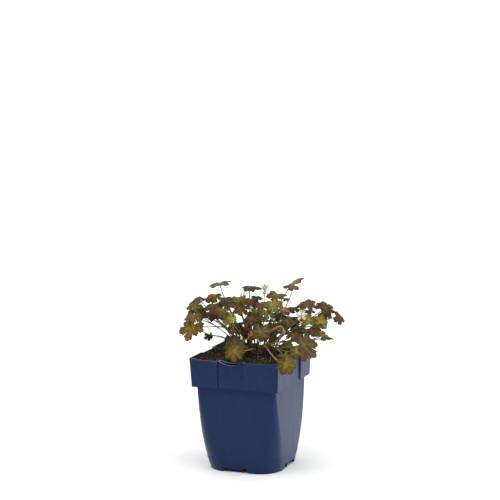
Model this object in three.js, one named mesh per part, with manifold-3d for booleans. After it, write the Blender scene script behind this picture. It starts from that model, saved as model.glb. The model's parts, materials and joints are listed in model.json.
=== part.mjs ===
// Hardy geranium in a square nursery pot.
// Millimetres, +Z up. The origin is the centre of the pot's underside, where it rests.
// The pot's front is its -Y side. The plant is laid out in a frame of its own, turned
// PLANT_TURN degrees about Z: across (to the right), away (to the back) and up from the rim.
import * as THREE from 'three';
import { mergeVertices } from 'three/addons/utils/BufferGeometryUtils.js';
import Module from 'manifold-3d';

const wasm = await Module();
wasm.setup();

// ---------------------------------------------------------------- driving dimensions
const POT = {
  height: 135.5,
  rimHalf: 55.5,         // half the width of the square rim at its top
  rimFootHalf: 53.9,     // the same at the rim band's lower edge
  rimDepth: 34.4,
  rimCorner: 1.2,
  wall: 1.6,
  neckHalf: 49.4,       // half the width of the body just under the rim band
  bodyBulge: 2.1,        // the body first widens by this much ...
  bodyTaper: 7.15,       // ... and then draws in by this much towards the base
  neckCorner: 2.5,
  baseCorner: 27.8,
  floorUnder: 5,         // height of the raised floor's underside
  floorTop: 7,
  padRadius: 13,         // the round centre boss that rests on the ground with the feet
};
const RECESS = { from: -21, to: 12.5, depth: 2.8 };  // a shallow bay in each side of the rim
// A slot for a plant label behind the front and back bays, its two lips dipped in an arc.
const LABEL_SLOT = {
  width: 28, depth: 12, gap: 2.4, lip: 1.3, floor: 3,
  outerArc: 31, outerDip: 4.7, innerArc: 29, innerDip: 2.4,
};
// The rim's front and back edges lie lower than the corners, between two short ramps.
const EDGE_DIP = { depth: 1.7, from: 51, to: 45, reach: 16 };
// Cuts in the foot of each side: from, to and height.
const FOOT_CUTS = { arch: [-19.4, 4.4, 4.3], notch: [4.8, 11.1, 5.6], tab: [11.1, 19.5, 1] };
const FOOT_CUT_REACH = [-48, -37];   // the cuts pass through the wall between these depths
const FOOT_WEB = { outer: -42.4, inner: -40.8, from: 0.4 };  // a thin wall behind the arch
const DRAIN = { radius: 4, at: 23 }; // four holes in the floor
const OVERSHOOT = 5;                 // how far a cutting solid runs on past a surface
const SOIL = { level: 132.5, relief: 0.8, sideRise: 1.2, gap: 0.3, holeDepth: 8 };
const PLANT_TURN = 22.28;
const PLANT_ASIDE = 0.6;  // the plant's own frame starts this far to the right of the pot's axis
const CROWN = { across: 4, away: 6, reachAcross: 25, reachAway: 18, slots: 62 };
const DEPTH = [0, 0.989, -0.147];
const SLIDES = [0, 3, -3, 6, -6, 9, -9, 13, -13, 17, -17, 22, -22, 27, -27];
const BOWS = [0, 3, -3, 6, -6, 10, -10, 15, -15];
const LIFTS = [0, 5, -4, 10];
const GAP = 0.35;        // least air between two nodes
const BLADE_THICK = 0.8;
const PETIOLE_RADIUS = 0.7;
const PETIOLE_SIDES = 3;
const FINE_FROM = 14;    // leaves of this radius and more have dents between their teeth
const PLAIN_BELOW = 11.2; // lobes of leaves below this radius end in two blunt teeth
const SEED = 71;

const TONES = {
  olive: 0x5b5a2a,
  bronze: 0x54432b,
  dark: 0x353522,
  gold: 0x7c7428,
  bright: 0x87922f,
  rust: 0x653a26,
  red: 0xa2583f,
  tan: 0xa88a5e,
  grey: 0x5d5a3c,
  withered: 0xb0652a,
};

// ---------------------------------------------------------------- the leaves
// Each leaf: name, across, away and up of its hub, radius, lobes, the bearing and the lift
// of its upper face (0 faces the front of the plant, 90 its right; lift 90 is level),
// the turn of its middle lobe from the downhill direction, and its tone.
const LEAVES = [
  ['drooping', 11.9, -38, 32.2, 13.5, 7, -5, 12, 0, 'grey',
    { via: [[12.3, -20, 12.2], [25.2, -24, 14.2], [32.2, -28, 20.6], [37.3, -30, 32.5],
      [33.1, -32, 36.5], [23.8, -36, 32.4]], stem: 1.1 }],
  ['withered', 3, -26, 27.6, 5.8, 5, 30, 10, 0, 'withered',
    { via: [[-19.2, -6, 17], [-10.2, -12, 16.6], [-3.9, -18, 19.2], [-0.5, -22, 26]],
      cup: 0.7 }],
  ['over_rim', 38.9, -77, 1.9, 13.8, 7, 10, 20, 25, 'gold',
    { via: [[13.8, -22, 12.5], [21.9, -46, 7.4], [29.5, -72, 4.6]], stem: 0.85 }],
  ['over_rim_upper', 37.5, -66, 9, 9, 5, 20, 40, 20, 'olive',
    { via: [[26.5, -26, 12.5], [33.7, -54, 9.5]] }],
  ['low_right', 58.8, -42, 16.4, 19.5, 7, 10, 28, 94, 'grey',
    { via: [[29.4, -14, 5.6], [50.3, -32, 12.3]], stem: 0.9,
      lengths: [0.6, 1.02, 1.1, 0.98, 0.8, 0.72, 0.64] }],
  ['big_left', -67.6, -24, 36, 17.5, 7, -10, 30, -22, 'gold',
    { via: [[-30, -6, 17.5], [-50, -16, 25]],
      lengths: [0.66, 0.76, 1.04, 1.04, 0.68, 0.76, 0.76] }],
  ['small_left', -49.6, -12, 22.6, 6.8, 5, 30, 10, 0, 'dark', { parent: 'big_left' }],
  ['butterfly', -35.8, -4, 81.8, 15.4, 5, -40, 75, 220, 'olive', { vee: 0.25, cup: 0.3 }],
  ['flat_top', -0.4, 8, 76.4, 15.4, 7, 60, 88, 0, 'dark'],
  ['top_right', 31, -8, 69, 13.4, 5, 10, 68, -30, 'olive',
    { vee: 0.15, lengths: [0.8, 1, 1, 0.8, 0.9] }],
  ['green_top', 51.6, 6, 81.4, 13.6, 5, -86, 61, 180, 'olive', { cup: 0.1 }],
  ['brown_top', 46.8, -8, 80, 12, 5, 30, 74, 30, 'bronze'],
  ['right_dome', 65.9, -4, 55, 13.4, 7, -10, 54, 180, 'bronze'],
  ['right_slope', 86.4, 4, 50.2, 15, 7, 25, 54, 110, 'dark'],
  ['right_tip', 101.4, -6, 42, 12, 5, 50, 36, 60, 'bronze'],
  ['right_olive', 67.5, -22, 38.6, 11.5, 5, 0, 30, 180, 'gold'],
  ['right_green', 82, -10, 36, 11.4, 5, 30, 30, 150, 'olive'],
  ['right_low', 82.5, -8, 19.5, 10, 5, 20, 40, 140, 'olive'],
  ['right_edge', 87.4, 6, 15, 10.8, 5, 90, 84, 0, 'dark', { parent: 'right_low' }],
  ['right_rust', 71.9, -26, 29, 7.5, 5, 0, 30, 0, 'rust', { parent: 'right_green' }],
  ['right_back', 69.6, 18, 44.5, 8, 5, 0, 80, 0, 'dark', { parent: 'right_slope' }],
  ['low_right_inner', 51.7, -28, 7, 9.5, 5, -10, 35, -60, 'olive', { parent: 'low_right' }],
  ['low_centre', 41.6, -16, 13.4, 8.5, 5, 0, 50, 0, 'olive'],
  ['low_teal', 49, -20, 2.2, 6, 5, 10, 60, 0, 'dark', { parent: 'low_centre' }],
  ['front_upper', -18.8, -34, 12.6, 14.8, 7, 0, 36, 180, 'grey'],
  ['front_lower', -20, -46, 11.4, 13.6, 7, 0, 44, 0, 'gold'],
  ['gold_left', -42.7, 6, 67, 10.6, 5, 0, 66, 0, 'gold'],
  ['grey_left', -62.5, 16, 63, 11, 5, -70, 70, 0, 'grey', { cup: 0.4 }],
  ['band_left', -50, 22, 60.4, 10, 5, -10, 78, 0, 'bronze', { parent: 'gold_left' }],
  ['olive_left', -67, -6, 55.4, 12.4, 5, -20, 40, 160, 'olive'],
  ['dark_left', -56, 6, 47.5, 12, 5, -20, 56, -60, 'dark'],
  ['brown_left', -66.6, -6, 46.4, 12.4, 5, -10, 60, 0, 'bronze', { parent: 'olive_left' }],
  ['mass_left', -45.5, -2, 46.8, 12.6, 5, 0, 72, 0, 'dark'],
  ['mass_mid', -34, 8, 43.6, 11.6, 5, 10, 74, 0, 'dark'],
  ['dark_olive', -43.2, -18, 59.6, 13, 5, -10, 66, 0, 'bronze'],
  ['dark_green', -28.4, -10, 66.2, 10.4, 5, 10, 66, 0, 'dark', { cup: 0.35 }],
  ['brown_mid', -33.5, -10, 53.4, 11, 5, -20, 60, 0, 'bronze'],
  ['bright', -20.9, -28, 43.9, 9, 5, 45, 15, 180, 'bright'],
  ['tan', -28.4, -22, 42.4, 6, 5, 0, 40, 0, 'tan', { parent: 'bright' }],
  ['gold_mid', -14.8, 4, 63.4, 10, 5, 0, 64, 0, 'gold'],
  ['brown_inner', -12.4, -10, 53.8, 10.5, 5, 0, 56, 0, 'bronze'],
  ['dark_back', 6.9, 18, 62, 8.4, 5, 0, 70, 0, 'dark', { parent: 'flat_top' }],
  ['dark_top', -0.6, 2, 62.6, 9.2, 5, -20, 62, 0, 'bronze'],
  ['red_brown', 11, -4, 58.2, 10.6, 5, 0, 56, 0, 'rust'],
  ['big_olive', 25.6, -14, 60.8, 13.4, 7, 0, 60, 20, 'olive'],
  ['olive_inner', 17.5, -24, 52.8, 10.6, 5, 0, 48, 0, 'olive'],
  ['red_centre', 0.7, -20, 45.4, 10.4, 5, -20, 40, 0, 'rust'],
  ['pink', 38.5, -18, 54, 6.6, 5, 0, 46, 0, 'red', { parent: 'top_right' }],
  ['dark_right', 49.4, 16, 48.6, 10, 5, 0, 74, 0, 'dark'],
  ['inner_a', 33.5, -6, 45, 10.6, 5, -15, 60, 0, 'dark'],
  ['inner_b', 42, -18, 41.6, 10.4, 5, 15, 50, 0, 'bronze'],
  ['inner_c', 34.7, -26, 34.6, 9.6, 5, 10, 44, 0, 'olive', { parent: 'inner_b' }],
  ['inner_d', 48.6, -4, 31.4, 10.6, 5, 10, 60, 0, 'dark', { parent: 'inner_a' }],
  ['inner_e', 53.8, 8, 37.4, 10.4, 5, 10, 74, 0, 'dark', { parent: 'dark_right' }],
  ['inner_f', 44.3, 4, 48, 9, 5, -10, 70, 0, 'olive', { parent: 'dark_right' }],
  ['bud_leaf', 42.4, 6, 61.6, 5, 5, 20, 70, 0, 'dark', { parent: 'inner_a' }],
  ['left_fill', -28, 4, 57.4, 9.8, 5, -10, 56, 0, 'olive', { parent: 'mass_left' }],
  ['left_edge', -68, 0, 50.4, 8, 5, -20, 50, 0, 'bronze', { parent: 'olive_left' }],
  ['low_left', -25, 6, 15.6, 8.4, 5, -10, 46, 0, 'dark', { parent: 'front_upper' }],
  ['mid_fill', -16, 8, 56, 9.8, 5, 0, 54, 0, 'bronze', { parent: 'gold_mid' }],
  ['top_fill', -3, 10, 56.6, 9.8, 5, 0, 56, 0, 'dark', { parent: 'dark_top' }],
  ['centre_fill', 6.6, 4, 48.6, 10, 5, 0, 50, 0, 'olive', { parent: 'red_brown' }],
  ['right_mid', 86, -4, 45.4, 11.4, 5, 20, 40, 60, 'bronze', { parent: 'right_tip' }],
  ['right_fill', 78.5, -6, 31.6, 10.2, 5, 10, 46, 0, 'bronze', { parent: 'right_olive' }],
  ['right_under', 48.6, -8, 22.4, 9.4, 5, 0, 46, 0, 'bronze', { parent: 'low_centre' }],
  ['right_under_back', 58, 2, 26.4, 10.4, 5, 0, 50, 0, 'dark', { parent: 'dark_right' }],
  ['right_gap', 65, 2, 23, 8.8, 5, 0, 50, 0, 'bronze', { parent: 'right_low' }],
  ['low_back', -8.8, 26, 23.4, 12, 5, 0, 46, 0, 'dark'],
  ['low_back_left', -19.3, 22, 28, 11, 5, -10, 50, 0, 'dark', { parent: 'low_back' }],
  ['low_back_under', -3, 32, 14, 10, 5, 0, 50, 0, 'olive', { parent: 'low_back' }],
  ['far_back', 17, 28, 23, 12, 5, 0, 46, 0, 'dark'],
  ['far_back_right', 28.6, 24, 26, 11.4, 5, 10, 50, 0, 'bronze', { parent: 'far_back' }],
  ['far_back_under', 23.6, 30, 13, 9.4, 5, 0, 50, 0, 'dark', { parent: 'far_back' }],
  ['mid_back', 5, 20, 32, 11, 5, 0, 50, 0, 'dark', { parent: 'far_back' }],
];
// The far side of the plant is filled by a seeded rule: shoots at even bearings, each with
// its own leaf and smaller side leaves.
const BACK = { shoots: 7, from: 12, to: 168, sideLeaves: 2 };
const BACK_TONES = ['dark', 'olive', 'bronze', 'olive', 'dark', 'gold', 'bronze', 'rust'];

// Each flower or fruit head: name, kind, across, away and up of its base, and the bearing
// and lift of its axis. Blooms have `petals` of a length and width, `open` degrees off the
// axis; the seed head has long cranesbill beaks.
const HEADS = [
  ['bloom_1', 'bloom', 16.6, -6, 71.1, 10, 74, { length: 10.4, width: 3.2, open: 24 }],
  ['bloom_2', 'bloom', 58.9, -18, 44.6, 0, 38, { length: 7.4, width: 2.2, open: 66 }],
  ['seed_head', 'beaks', -8.5, -4, 59.2, -20, 82, { length: 12.5, beaks: 5 }],
];
const PETALS = 5;
const PETAL_THICK = 0.6;
const HEAD_GAP = 0.55;   // from the end of the stalk to the foot of the head
const HEAD_COLORS = { petals: 0xe9e6df, stalk: 0x8a8f52, beaks: 0x7b4a2c };
const STALK_RADIUS = 0.5;

// ---------------------------------------------------------------- small helpers
const DEG = Math.PI / 180;
const UP = new THREE.Vector3(0, 0, 1);

// A small seeded generator of numbers from 0 to 1 (mulberry32).
function seeded(seed) {
  let state = seed >>> 0;
  return () => {
    state = (state + 0x6d2b79f5) >>> 0;
    let mixed = Math.imul(state ^ (state >>> 15), 1 | state);
    mixed = (mixed + Math.imul(mixed ^ (mixed >>> 7), 61 | mixed)) ^ mixed;
    return ((mixed ^ (mixed >>> 14)) >>> 0) / 4294967296;
  };
}

// From the plant's frame (across, away, up) to the pot's, first a direction, then a point
// whose up is measured from the rim.
function directionToPot(across, away, up) {
  const c = Math.cos(PLANT_TURN * DEG);
  const s = Math.sin(PLANT_TURN * DEG);
  return new THREE.Vector3(across * c - away * s, across * s + away * c, up);
}

function toPot([across, away, up]) {
  return directionToPot(across + PLANT_ASIDE, away, POT.height + up);
}

// ---------------------------------------------------------------- solids
function toSolid(geometry) {
  const bare = geometry.clone();
  bare.deleteAttribute('normal');
  bare.deleteAttribute('uv');
  const merged = mergeVertices(bare, 1e-4);
  const mesh = new wasm.Mesh({
    numProp: 3,
    vertProperties: new Float32Array(merged.attributes.position.array),
    triVerts: new Uint32Array(merged.index.array),
  });
  return new wasm.Manifold(mesh);
}

// The largest body of a solid, as a geometry.
function toGeometry(solid) {
  let largest = solid;
  for (const body of solid.decompose()) {
    if (largest === solid || body.volume() > largest.volume()) largest = body;
  }
  const mesh = largest.getMesh();
  const geometry = new THREE.BufferGeometry();
  geometry.setAttribute('position', new THREE.BufferAttribute(mesh.vertProperties, 3));
  geometry.setIndex(new THREE.BufferAttribute(mesh.triVerts, 1));
  geometry.computeVertexNormals();
  return geometry;
}

function box(x0, x1, y0, y1, z0, z1) {
  const geometry = new THREE.BoxGeometry(x1 - x0, y1 - y0, z1 - z0);
  return toSolid(geometry.translate((x0 + x1) / 2, (y0 + y1) / 2, (z0 + z1) / 2));
}

function upright(radius, x, y, z0, z1, sides) {
  const geometry = new THREE.CylinderGeometry(radius, radius, z1 - z0, sides);
  return toSolid(geometry.rotateX(Math.PI / 2).translate(x, y, (z0 + z1) / 2));
}

// A closed solid through rings of equal point count, with flat fans at both ends.
function loft(rings) {
  const count = rings[0].length;
  const positions = rings.flat().flatMap((p) => [p.x, p.y, p.z]);
  const index = [];
  for (let level = 0; level + 1 < rings.length; level += 1) {
    for (let i = 0; i < count; i += 1) {
      const a = level * count + i;
      const b = level * count + (i + 1) % count;
      index.push(a, b, b + count, a, b + count, a + count);
    }
  }
  const last = (rings.length - 1) * count;
  for (let i = 1; i + 1 < count; i += 1) {
    index.push(0, i + 1, i);
    index.push(last, last + i, last + i + 1);
  }
  const geometry = new THREE.BufferGeometry();
  geometry.setAttribute('position', new THREE.Float32BufferAttribute(positions, 3));
  geometry.setIndex(index);
  return geometry;
}

// A closed sheet between two layers of matching points, with the same faces on both. Its
// edge runs through the points from number `first` on.
function plate(upper, lower, faces, first) {
  const count = upper.length;
  const index = faces.flatMap(([a, b, c]) => [a, b, c, count + a, count + c, count + b]);
  for (let i = first; i < count; i += 1) {
    const next = i + 1 < count ? i + 1 : first;
    index.push(i, count + i, count + next, i, count + next, next);
  }
  const positions = [...upper, ...lower].flatMap((p) => [p.x, p.y, p.z]);
  const geometry = new THREE.BufferGeometry();
  geometry.setAttribute('position', new THREE.Float32BufferAttribute(positions, 3));
  geometry.setIndex(index);
  return toSolid(geometry);
}

// A square ring with rounded corners, counter-clockwise seen from above.
function roundedSquare(half, corner, z, steps) {
  const ring = [];
  for (let quarter = 0; quarter < 4; quarter += 1) {
    const sx = quarter === 0 || quarter === 3 ? 1 : -1;
    const sy = quarter < 2 ? 1 : -1;
    for (let i = 0; i <= steps; i += 1) {
      const angle = (quarter + i / steps) * Math.PI / 2;
      ring.push(new THREE.Vector3(
        sx * (half - corner) + corner * Math.cos(angle),
        sy * (half - corner) + corner * Math.sin(angle),
        z,
      ));
    }
  }
  return ring;
}

// ---------------------------------------------------------------- pot
const NECK_Z = POT.height - POT.rimDepth;
const LABEL_SLOT_FRONT = -POT.rimHalf + RECESS.depth + LABEL_SLOT.lip;
const LABEL_SLOT_BACK = LABEL_SLOT_FRONT + LABEL_SLOT.gap + LABEL_SLOT.lip;

// The body's half width and corner radius at a height: it draws in with the cube of the
// way down, while its corners grow steadily rounder.
function bodyAt(z) {
  const down = (NECK_Z - z) / NECK_Z;
  return {
    half: POT.neckHalf + POT.bodyBulge * down - POT.bodyTaper * down ** 3,
    corner: POT.neckCorner + (POT.baseCorner - POT.neckCorner) * down,
  };
}

function bodyLoft(fromZ, toZ, inset, levels, steps) {
  const rings = [];
  for (let i = 0; i <= levels; i += 1) {
    const z = fromZ + (toZ - fromZ) * (i / levels) ** 1.3;
    const { half, corner } = bodyAt(Math.min(z, NECK_Z));
    rings.push(roundedSquare(half - inset, Math.max(corner - inset, 0.8), z, steps));
  }
  return rings;
}

function rimHalfAt(z) {
  const up = (z - NECK_Z) / POT.rimDepth;
  return POT.rimFootHalf + (POT.rimHalf - POT.rimFootHalf) * up;
}

function onFrontAndBack(solid) {
  return solid.add(solid.rotate([0, 0, 180]));
}

// Turns a solid made for the front side (-Y) onto all four sides. The right side mirrors
// the front about the near corner's diagonal, and the other two repeat both, half a turn on.
function onFourSides(solid) {
  const turned = solid.rotate([0, 0, 180]);
  const swap = new Float64Array([0, -1, 0, 0, -1, 0, 0, 0, 0, 0, 1, 0, 0, 0, 0, 1]);
  const mirrored = solid.transform(Array.from(swap));
  return solid.add(turned).add(mirrored).add(mirrored.rotate([0, 0, 180]));
}

// A dip in an upright wall's top edge: an arc as deep as `dip` over `width`.
function arcDip(centre, width, dip, y0, y1) {
  const top = POT.height - EDGE_DIP.depth;
  const above = POT.height + OVERSHOOT;
  const shape = new THREE.Shape();
  shape.moveTo(centre - width / 2, top);
  shape.quadraticCurveTo(centre, top - 2 * dip, centre + width / 2, top);
  shape.lineTo(centre + width / 2, above);
  shape.lineTo(centre - width / 2, above);
  shape.closePath();
  const cut = new THREE.ExtrudeGeometry(shape, { depth: y1 - y0, bevelEnabled: false, curveSegments: 6 });
  return toSolid(cut.rotateX(Math.PI / 2).translate(0, y1, 0));
}

// The part of the front edge between its two corners that is taken away.
function edgeDip() {
  const { from, to, depth, reach } = EDGE_DIP;
  const above = POT.height + OVERSHOOT;
  const shape = new THREE.Shape();
  shape.moveTo(-from, POT.height);
  shape.lineTo(-to, POT.height - depth);
  shape.lineTo(to, POT.height - depth);
  shape.lineTo(from, POT.height);
  shape.lineTo(from, above);
  shape.lineTo(-from, above);
  shape.closePath();
  const cut = new THREE.ExtrudeGeometry(shape, { depth: reach, bevelEnabled: false });
  return toSolid(cut.rotateX(Math.PI / 2).translate(0, reach - POT.rimHalf - 2, 0));
}

// The wall behind a recess, and the block that holds a label slot: they stand inside the
// rim. `swell` makes them larger all round.
function rimFills(swell) {
  const side = POT.wall + swell;
  const front = -POT.rimHalf - OVERSHOOT;
  const top = POT.height + OVERSHOOT;
  const bottom = POT.height - LABEL_SLOT.depth - LABEL_SLOT.floor - swell;
  return {
    recessWall: box(RECESS.from - side, RECESS.to + side, front,
      -POT.rimHalf + RECESS.depth + side, NECK_Z - OVERSHOOT, top),
    slotBlock: box(RECESS.from + 1 - swell, RECESS.to - 1 + swell, front,
      LABEL_SLOT_BACK + swell, bottom, top),
  };
}

// The label slot and the dips of its two lips.
function labelCuts() {
  const centre = (RECESS.from + RECESS.to) / 2;
  const { width, gap, depth, outerArc, outerDip, innerArc, innerDip } = LABEL_SLOT;
  const slot = box(centre - width / 2, centre + width / 2, LABEL_SLOT_FRONT,
    LABEL_SLOT_FRONT + gap, POT.height - depth, POT.height + OVERSHOOT);
  const outer = arcDip(centre, outerArc, outerDip, -POT.rimHalf - 1, LABEL_SLOT_FRONT + 0.2);
  const inner = arcDip(centre, innerArc, innerDip, LABEL_SLOT_FRONT + 0.1, LABEL_SLOT_BACK + 0.5);
  return slot.add(outer).add(inner);
}

function footCuts() {
  const [front, back] = FOOT_CUT_REACH;
  const cuts = Object.values(FOOT_CUTS).map(([from, to, high]) => box(from, to, front, back, -1, high));
  return cuts.reduce((all, cut) => all.add(cut));
}

function drains() {
  const { radius, at } = DRAIN;
  const holes = [[at, at], [-at, at], [-at, -at], [at, -at]].map(([x, y]) => (
    upright(radius, x, y, POT.floorUnder - 1, POT.floorTop + 1, 8)));
  return holes.reduce((all, hole) => all.add(hole));
}

function rimBlock(inset, corner, bottom, top) {
  return toSolid(loft([
    roundedSquare(rimHalfAt(NECK_Z) - inset, corner, bottom, 3),
    roundedSquare(rimHalfAt(top) - inset, corner, top, 3),
  ]));
}

function buildPot() {
  const body = toSolid(loft(bodyLoft(0, NECK_Z + 2, 0, 5, 4)));
  const band = rimBlock(0, POT.rimCorner, NECK_Z, POT.height);
  const recess = box(RECESS.from, RECESS.to, -POT.rimHalf - OVERSHOOT,
    -POT.rimHalf + RECESS.depth, NECK_Z - OVERSHOOT, POT.height + OVERSHOOT);
  const outer = body.add(band.subtract(onFourSides(recess)));

  const hollow = toSolid(loft(bodyLoft(POT.floorTop, NECK_Z + 3, POT.wall, 4, 4)));
  const mouth = rimBlock(POT.wall, 0.6, NECK_Z + POT.wall, POT.height + OVERSHOOT);
  const { recessWall, slotBlock } = rimFills(0);
  const dish = upright(POT.padRadius - POT.wall, 0, 0, POT.wall, POT.floorTop + 1, 12);
  const behindRim = onFourSides(recessWall).add(onFrontAndBack(slotBlock));
  const cavity = hollow.add(mouth.subtract(behindRim)).add(dish);

  const underside = toSolid(loft(bodyLoft(-1, POT.floorUnder, POT.wall + 0.3, 1, 4)));
  const pad = upright(POT.padRadius, 0, 0, -2, POT.floorUnder + 1, 16);
  const [archFrom, archTo] = FOOT_CUTS.arch;
  const web = box(archFrom - 1, archTo + 1, FOOT_WEB.outer, FOOT_WEB.inner, FOOT_WEB.from,
    POT.floorUnder + 1);
  return outer.subtract(cavity)
    .subtract(underside.subtract(pad))
    .subtract(onFrontAndBack(labelCuts().add(edgeDip())))
    .subtract(onFourSides(footCuts()))
    .add(onFourSides(web))
    .subtract(drains());
}

// ---------------------------------------------------------------- compost
// A gently uneven surface: two crossed waves, a low crown in the middle and a slight rise
// towards the two side walls.
function soilHeight(x, y) {
  const waves = Math.sin(x * 0.21 + 1.1) * Math.cos(y * 0.17) + 0.6 * Math.sin(x * 0.09 - y * 0.31);
  const crown = 1.1 * Math.max(0, 1 - (x * x + y * y) / 1800);
  const sides = SOIL.sideRise * (x / POT.rimHalf) ** 4;
  return SOIL.level + SOIL.relief * waves * 0.6 + crown + sides;
}

function buildCompost(stems) {
  const clear = POT.wall + SOIL.gap;
  const rings = bodyLoft(POT.floorTop + SOIL.gap, NECK_Z + clear, clear, 3, 4);
  const plugHalf = POT.rimFootHalf - clear;
  rings.push(roundedSquare(plugHalf, 2, NECK_Z + clear + 0.3, 4));
  for (const scale of [1, 0.76, 0.44]) {
    const ring = roundedSquare(plugHalf, 2, 0, 4);
    for (const point of ring) {
      point.x *= scale;
      point.y *= scale;
      point.z = soilHeight(point.x, point.y);
    }
    rings.push(ring);
  }
  const middle = rings.at(-1);
  const level = middle.reduce((sum, point) => sum + point.z, 0) / middle.length;
  for (const point of middle) point.z = level;
  const { recessWall, slotBlock } = rimFills(SOIL.gap);
  const fills = onFourSides(recessWall).add(onFrontAndBack(slotBlock));
  let compost = toSolid(loft(rings)).subtract(fills);
  for (const { x, y, radius } of stems) {
    const bottom = soilHeight(x, y) - SOIL.holeDepth - 1;
    const hole = upright((radius + GAP) * Math.SQRT2, x, y, bottom, POT.height + OVERSHOOT, 4);
    compost = compost.subtract(hole);
  }
  return compost;
}

// ---------------------------------------------------------------- leaf blades
// Seven or five lobes fan out about the hub and leave a notch at the back. A lobe is a
// wedge with a blunt tooth at each side of its tip.
function lobePlan(leaf) {
  const step = leaf.lobes === 7 ? 45 : 57;
  const random = seeded(leaf.seed);
  const plan = [];
  for (let k = 0; k < leaf.lobes; k += 1) {
    const angle = (k - (leaf.lobes - 1) / 2) * step;
    const shorter = 0.26 * (Math.abs(angle) / 140) ** 1.6;
    const own = leaf.lengths ? leaf.lengths[k] : 1 - shorter + 0.14 * (random() - 0.5);
    plan.push({ angle: angle + 8 * (random() - 0.5), length: leaf.radius * own });
  }
  return { step, plan, phase: random() * 360, phase3: random() * 360 };
}

// The teeth of a lobe, as [share of the lobe's step, share of its length]: three blunt ones,
// two on small leaves, and dents between them on the largest.
const PLAIN_TEETH = [[-0.32, 0.95], [0.32, 0.95]];
const TEETH = [[-0.41, 0.9], [0, 1], [0.41, 0.9]];
const FINE_TEETH = [[-0.42, 0.88], [-0.2, 0.91], [0, 1], [0.2, 0.91], [0.42, 0.88]];

function teethFor(radius) {
  if (radius < PLAIN_BELOW) return PLAIN_TEETH;
  return radius < FINE_FROM ? TEETH : FINE_TEETH;
}

// The outline as [angle in degrees, distance] points: one behind the hub, then for every
// lobe the notch before it and its teeth, and a last notch.
function bladeOutline(leaf) {
  const { step, plan } = leaf.plan;
  const points = [[-180, leaf.radius * 0.1]];
  plan.forEach(({ angle, length }, k) => {
    points.push([angle - step / 2, leaf.radius * (k === 0 ? 0.4 : 0.46)]);
    for (const [turn, share] of leaf.teeth) points.push([angle + turn * step, length * share]);
  });
  points.push([plan.at(-1).angle + step / 2, leaf.radius * 0.4]);
  return points;
}

// Height of the blade's middle surface over its hub: it arches down from the hub, may fold
// up along its midrib, and waves two and three times on the way round.
function bladeHeight(leaf, degrees, distance) {
  const share = distance / leaf.radius;
  const { phase, phase3 } = leaf.plan;
  const wave = 0.09 * Math.sin((2 * degrees + phase) * DEG) + 0.05 * Math.sin((3 * degrees + phase3) * DEG);
  const side = Math.abs(Math.sin(degrees * DEG)) * distance;
  return leaf.vee * side + leaf.radius * share * share * (wave - leaf.cup);
}

function bladePoint(leaf, degrees, distance, offset) {
  const x = distance * Math.cos(degrees * DEG);
  const y = distance * Math.sin(degrees * DEG);
  const local = new THREE.Vector3(x, y, bladeHeight(leaf, degrees, distance) + offset);
  return local.applyMatrix4(leaf.frame);
}

// The blade's own axes in the pot's frame: x along the middle lobe, z out of the upper face.
function bladeFrame(leaf, hub) {
  const bearing = leaf.bearing * DEG;
  const lift = leaf.lift * DEG;
  const level = Math.cos(lift);
  const normal = directionToPot(Math.sin(bearing) * level, -Math.cos(bearing) * level, Math.sin(lift));
  const downhill = directionToPot(
    Math.sin(bearing) * Math.sin(lift), -Math.cos(bearing) * Math.sin(lift), -level);
  const tip = downhill.applyAxisAngle(normal, leaf.turn * DEG);
  const side = new THREE.Vector3().crossVectors(normal, tip);
  return new THREE.Matrix4().makeBasis(tip, side, normal).setPosition(hub);
}

// The blade's upper triangles by point number, the hub being 0 and the point behind it 1: a
// fan from the hub to the notches, then every lobe split outwards from its two notches.
function bladeFaces(leaf) {
  const step = leaf.teeth.length + 1;
  const faces = [[0, 1, 2], [0, 2 + leaf.lobes * step, 1]];
  for (let k = 0; k < leaf.lobes; k += 1) {
    const from = 2 + k * step;
    const to = from + step;
    const tip = from + Math.ceil(step / 2);
    faces.push([0, from, to], [from, tip, to]);
    for (let i = from + 1; i < tip; i += 1) faces.push([from, i, i + 1]);
    for (let i = tip; i < to - 1; i += 1) faces.push([i, i + 1, to]);
  }
  return faces;
}

function bladeSolid(leaf) {
  const outline = [[0, 0], ...bladeOutline(leaf)];
  const upper = outline.map(([degrees, distance]) => bladePoint(leaf, degrees, distance, BLADE_THICK / 2));
  const lower = outline.map(([degrees, distance]) => bladePoint(leaf, degrees, distance, -BLADE_THICK / 2));
  return plate(upper, lower, bladeFaces(leaf), 1);
}

// ---------------------------------------------------------------- stems and petioles
// A route through given points, sampled exactly at them.
class Route extends THREE.Curve {
  constructor(points) {
    super();
    this.points = points;
  }

  getPoint(t, target = new THREE.Vector3()) {
    const last = this.points.length - 1;
    const at = Math.min(Math.max(t, 0), 1) * last;
    const i = Math.min(Math.floor(at), last - 1);
    return target.lerpVectors(this.points[i], this.points[i + 1], at - i);
  }

  getPointAt(u, target) {
    return this.getPoint(u, target);
  }

  getTangentAt(u, target = new THREE.Vector3()) {
    const last = this.points.length - 1;
    const i = Math.round(Math.min(Math.max(u, 0), 1) * last);
    const before = this.points[Math.max(i - 1, 0)];
    const after = this.points[Math.min(i + 1, last)];
    return target.subVectors(after, before).normalize();
  }
}

function tube(points, radius, sides) {
  const section = new THREE.Shape();
  for (let i = 0; i < sides; i += 1) {
    const angle = (i + 0.5) / sides * 2 * Math.PI;
    section[i === 0 ? 'moveTo' : 'lineTo'](radius * Math.cos(angle), radius * Math.sin(angle));
  }
  section.closePath();
  const path = new Route(points);
  const geometry = new THREE.ExtrudeGeometry(section, { steps: points.length - 1, extrudePath: path });
  return toSolid(geometry);
}

function bezier(p0, p1, p2, p3, steps) {
  const curve = new THREE.CubicBezierCurve3(p0, p1, p2, p3);
  return Array.from({ length: steps + 1 }, (unused, i) => curve.getPoint(i / steps));
}

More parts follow.
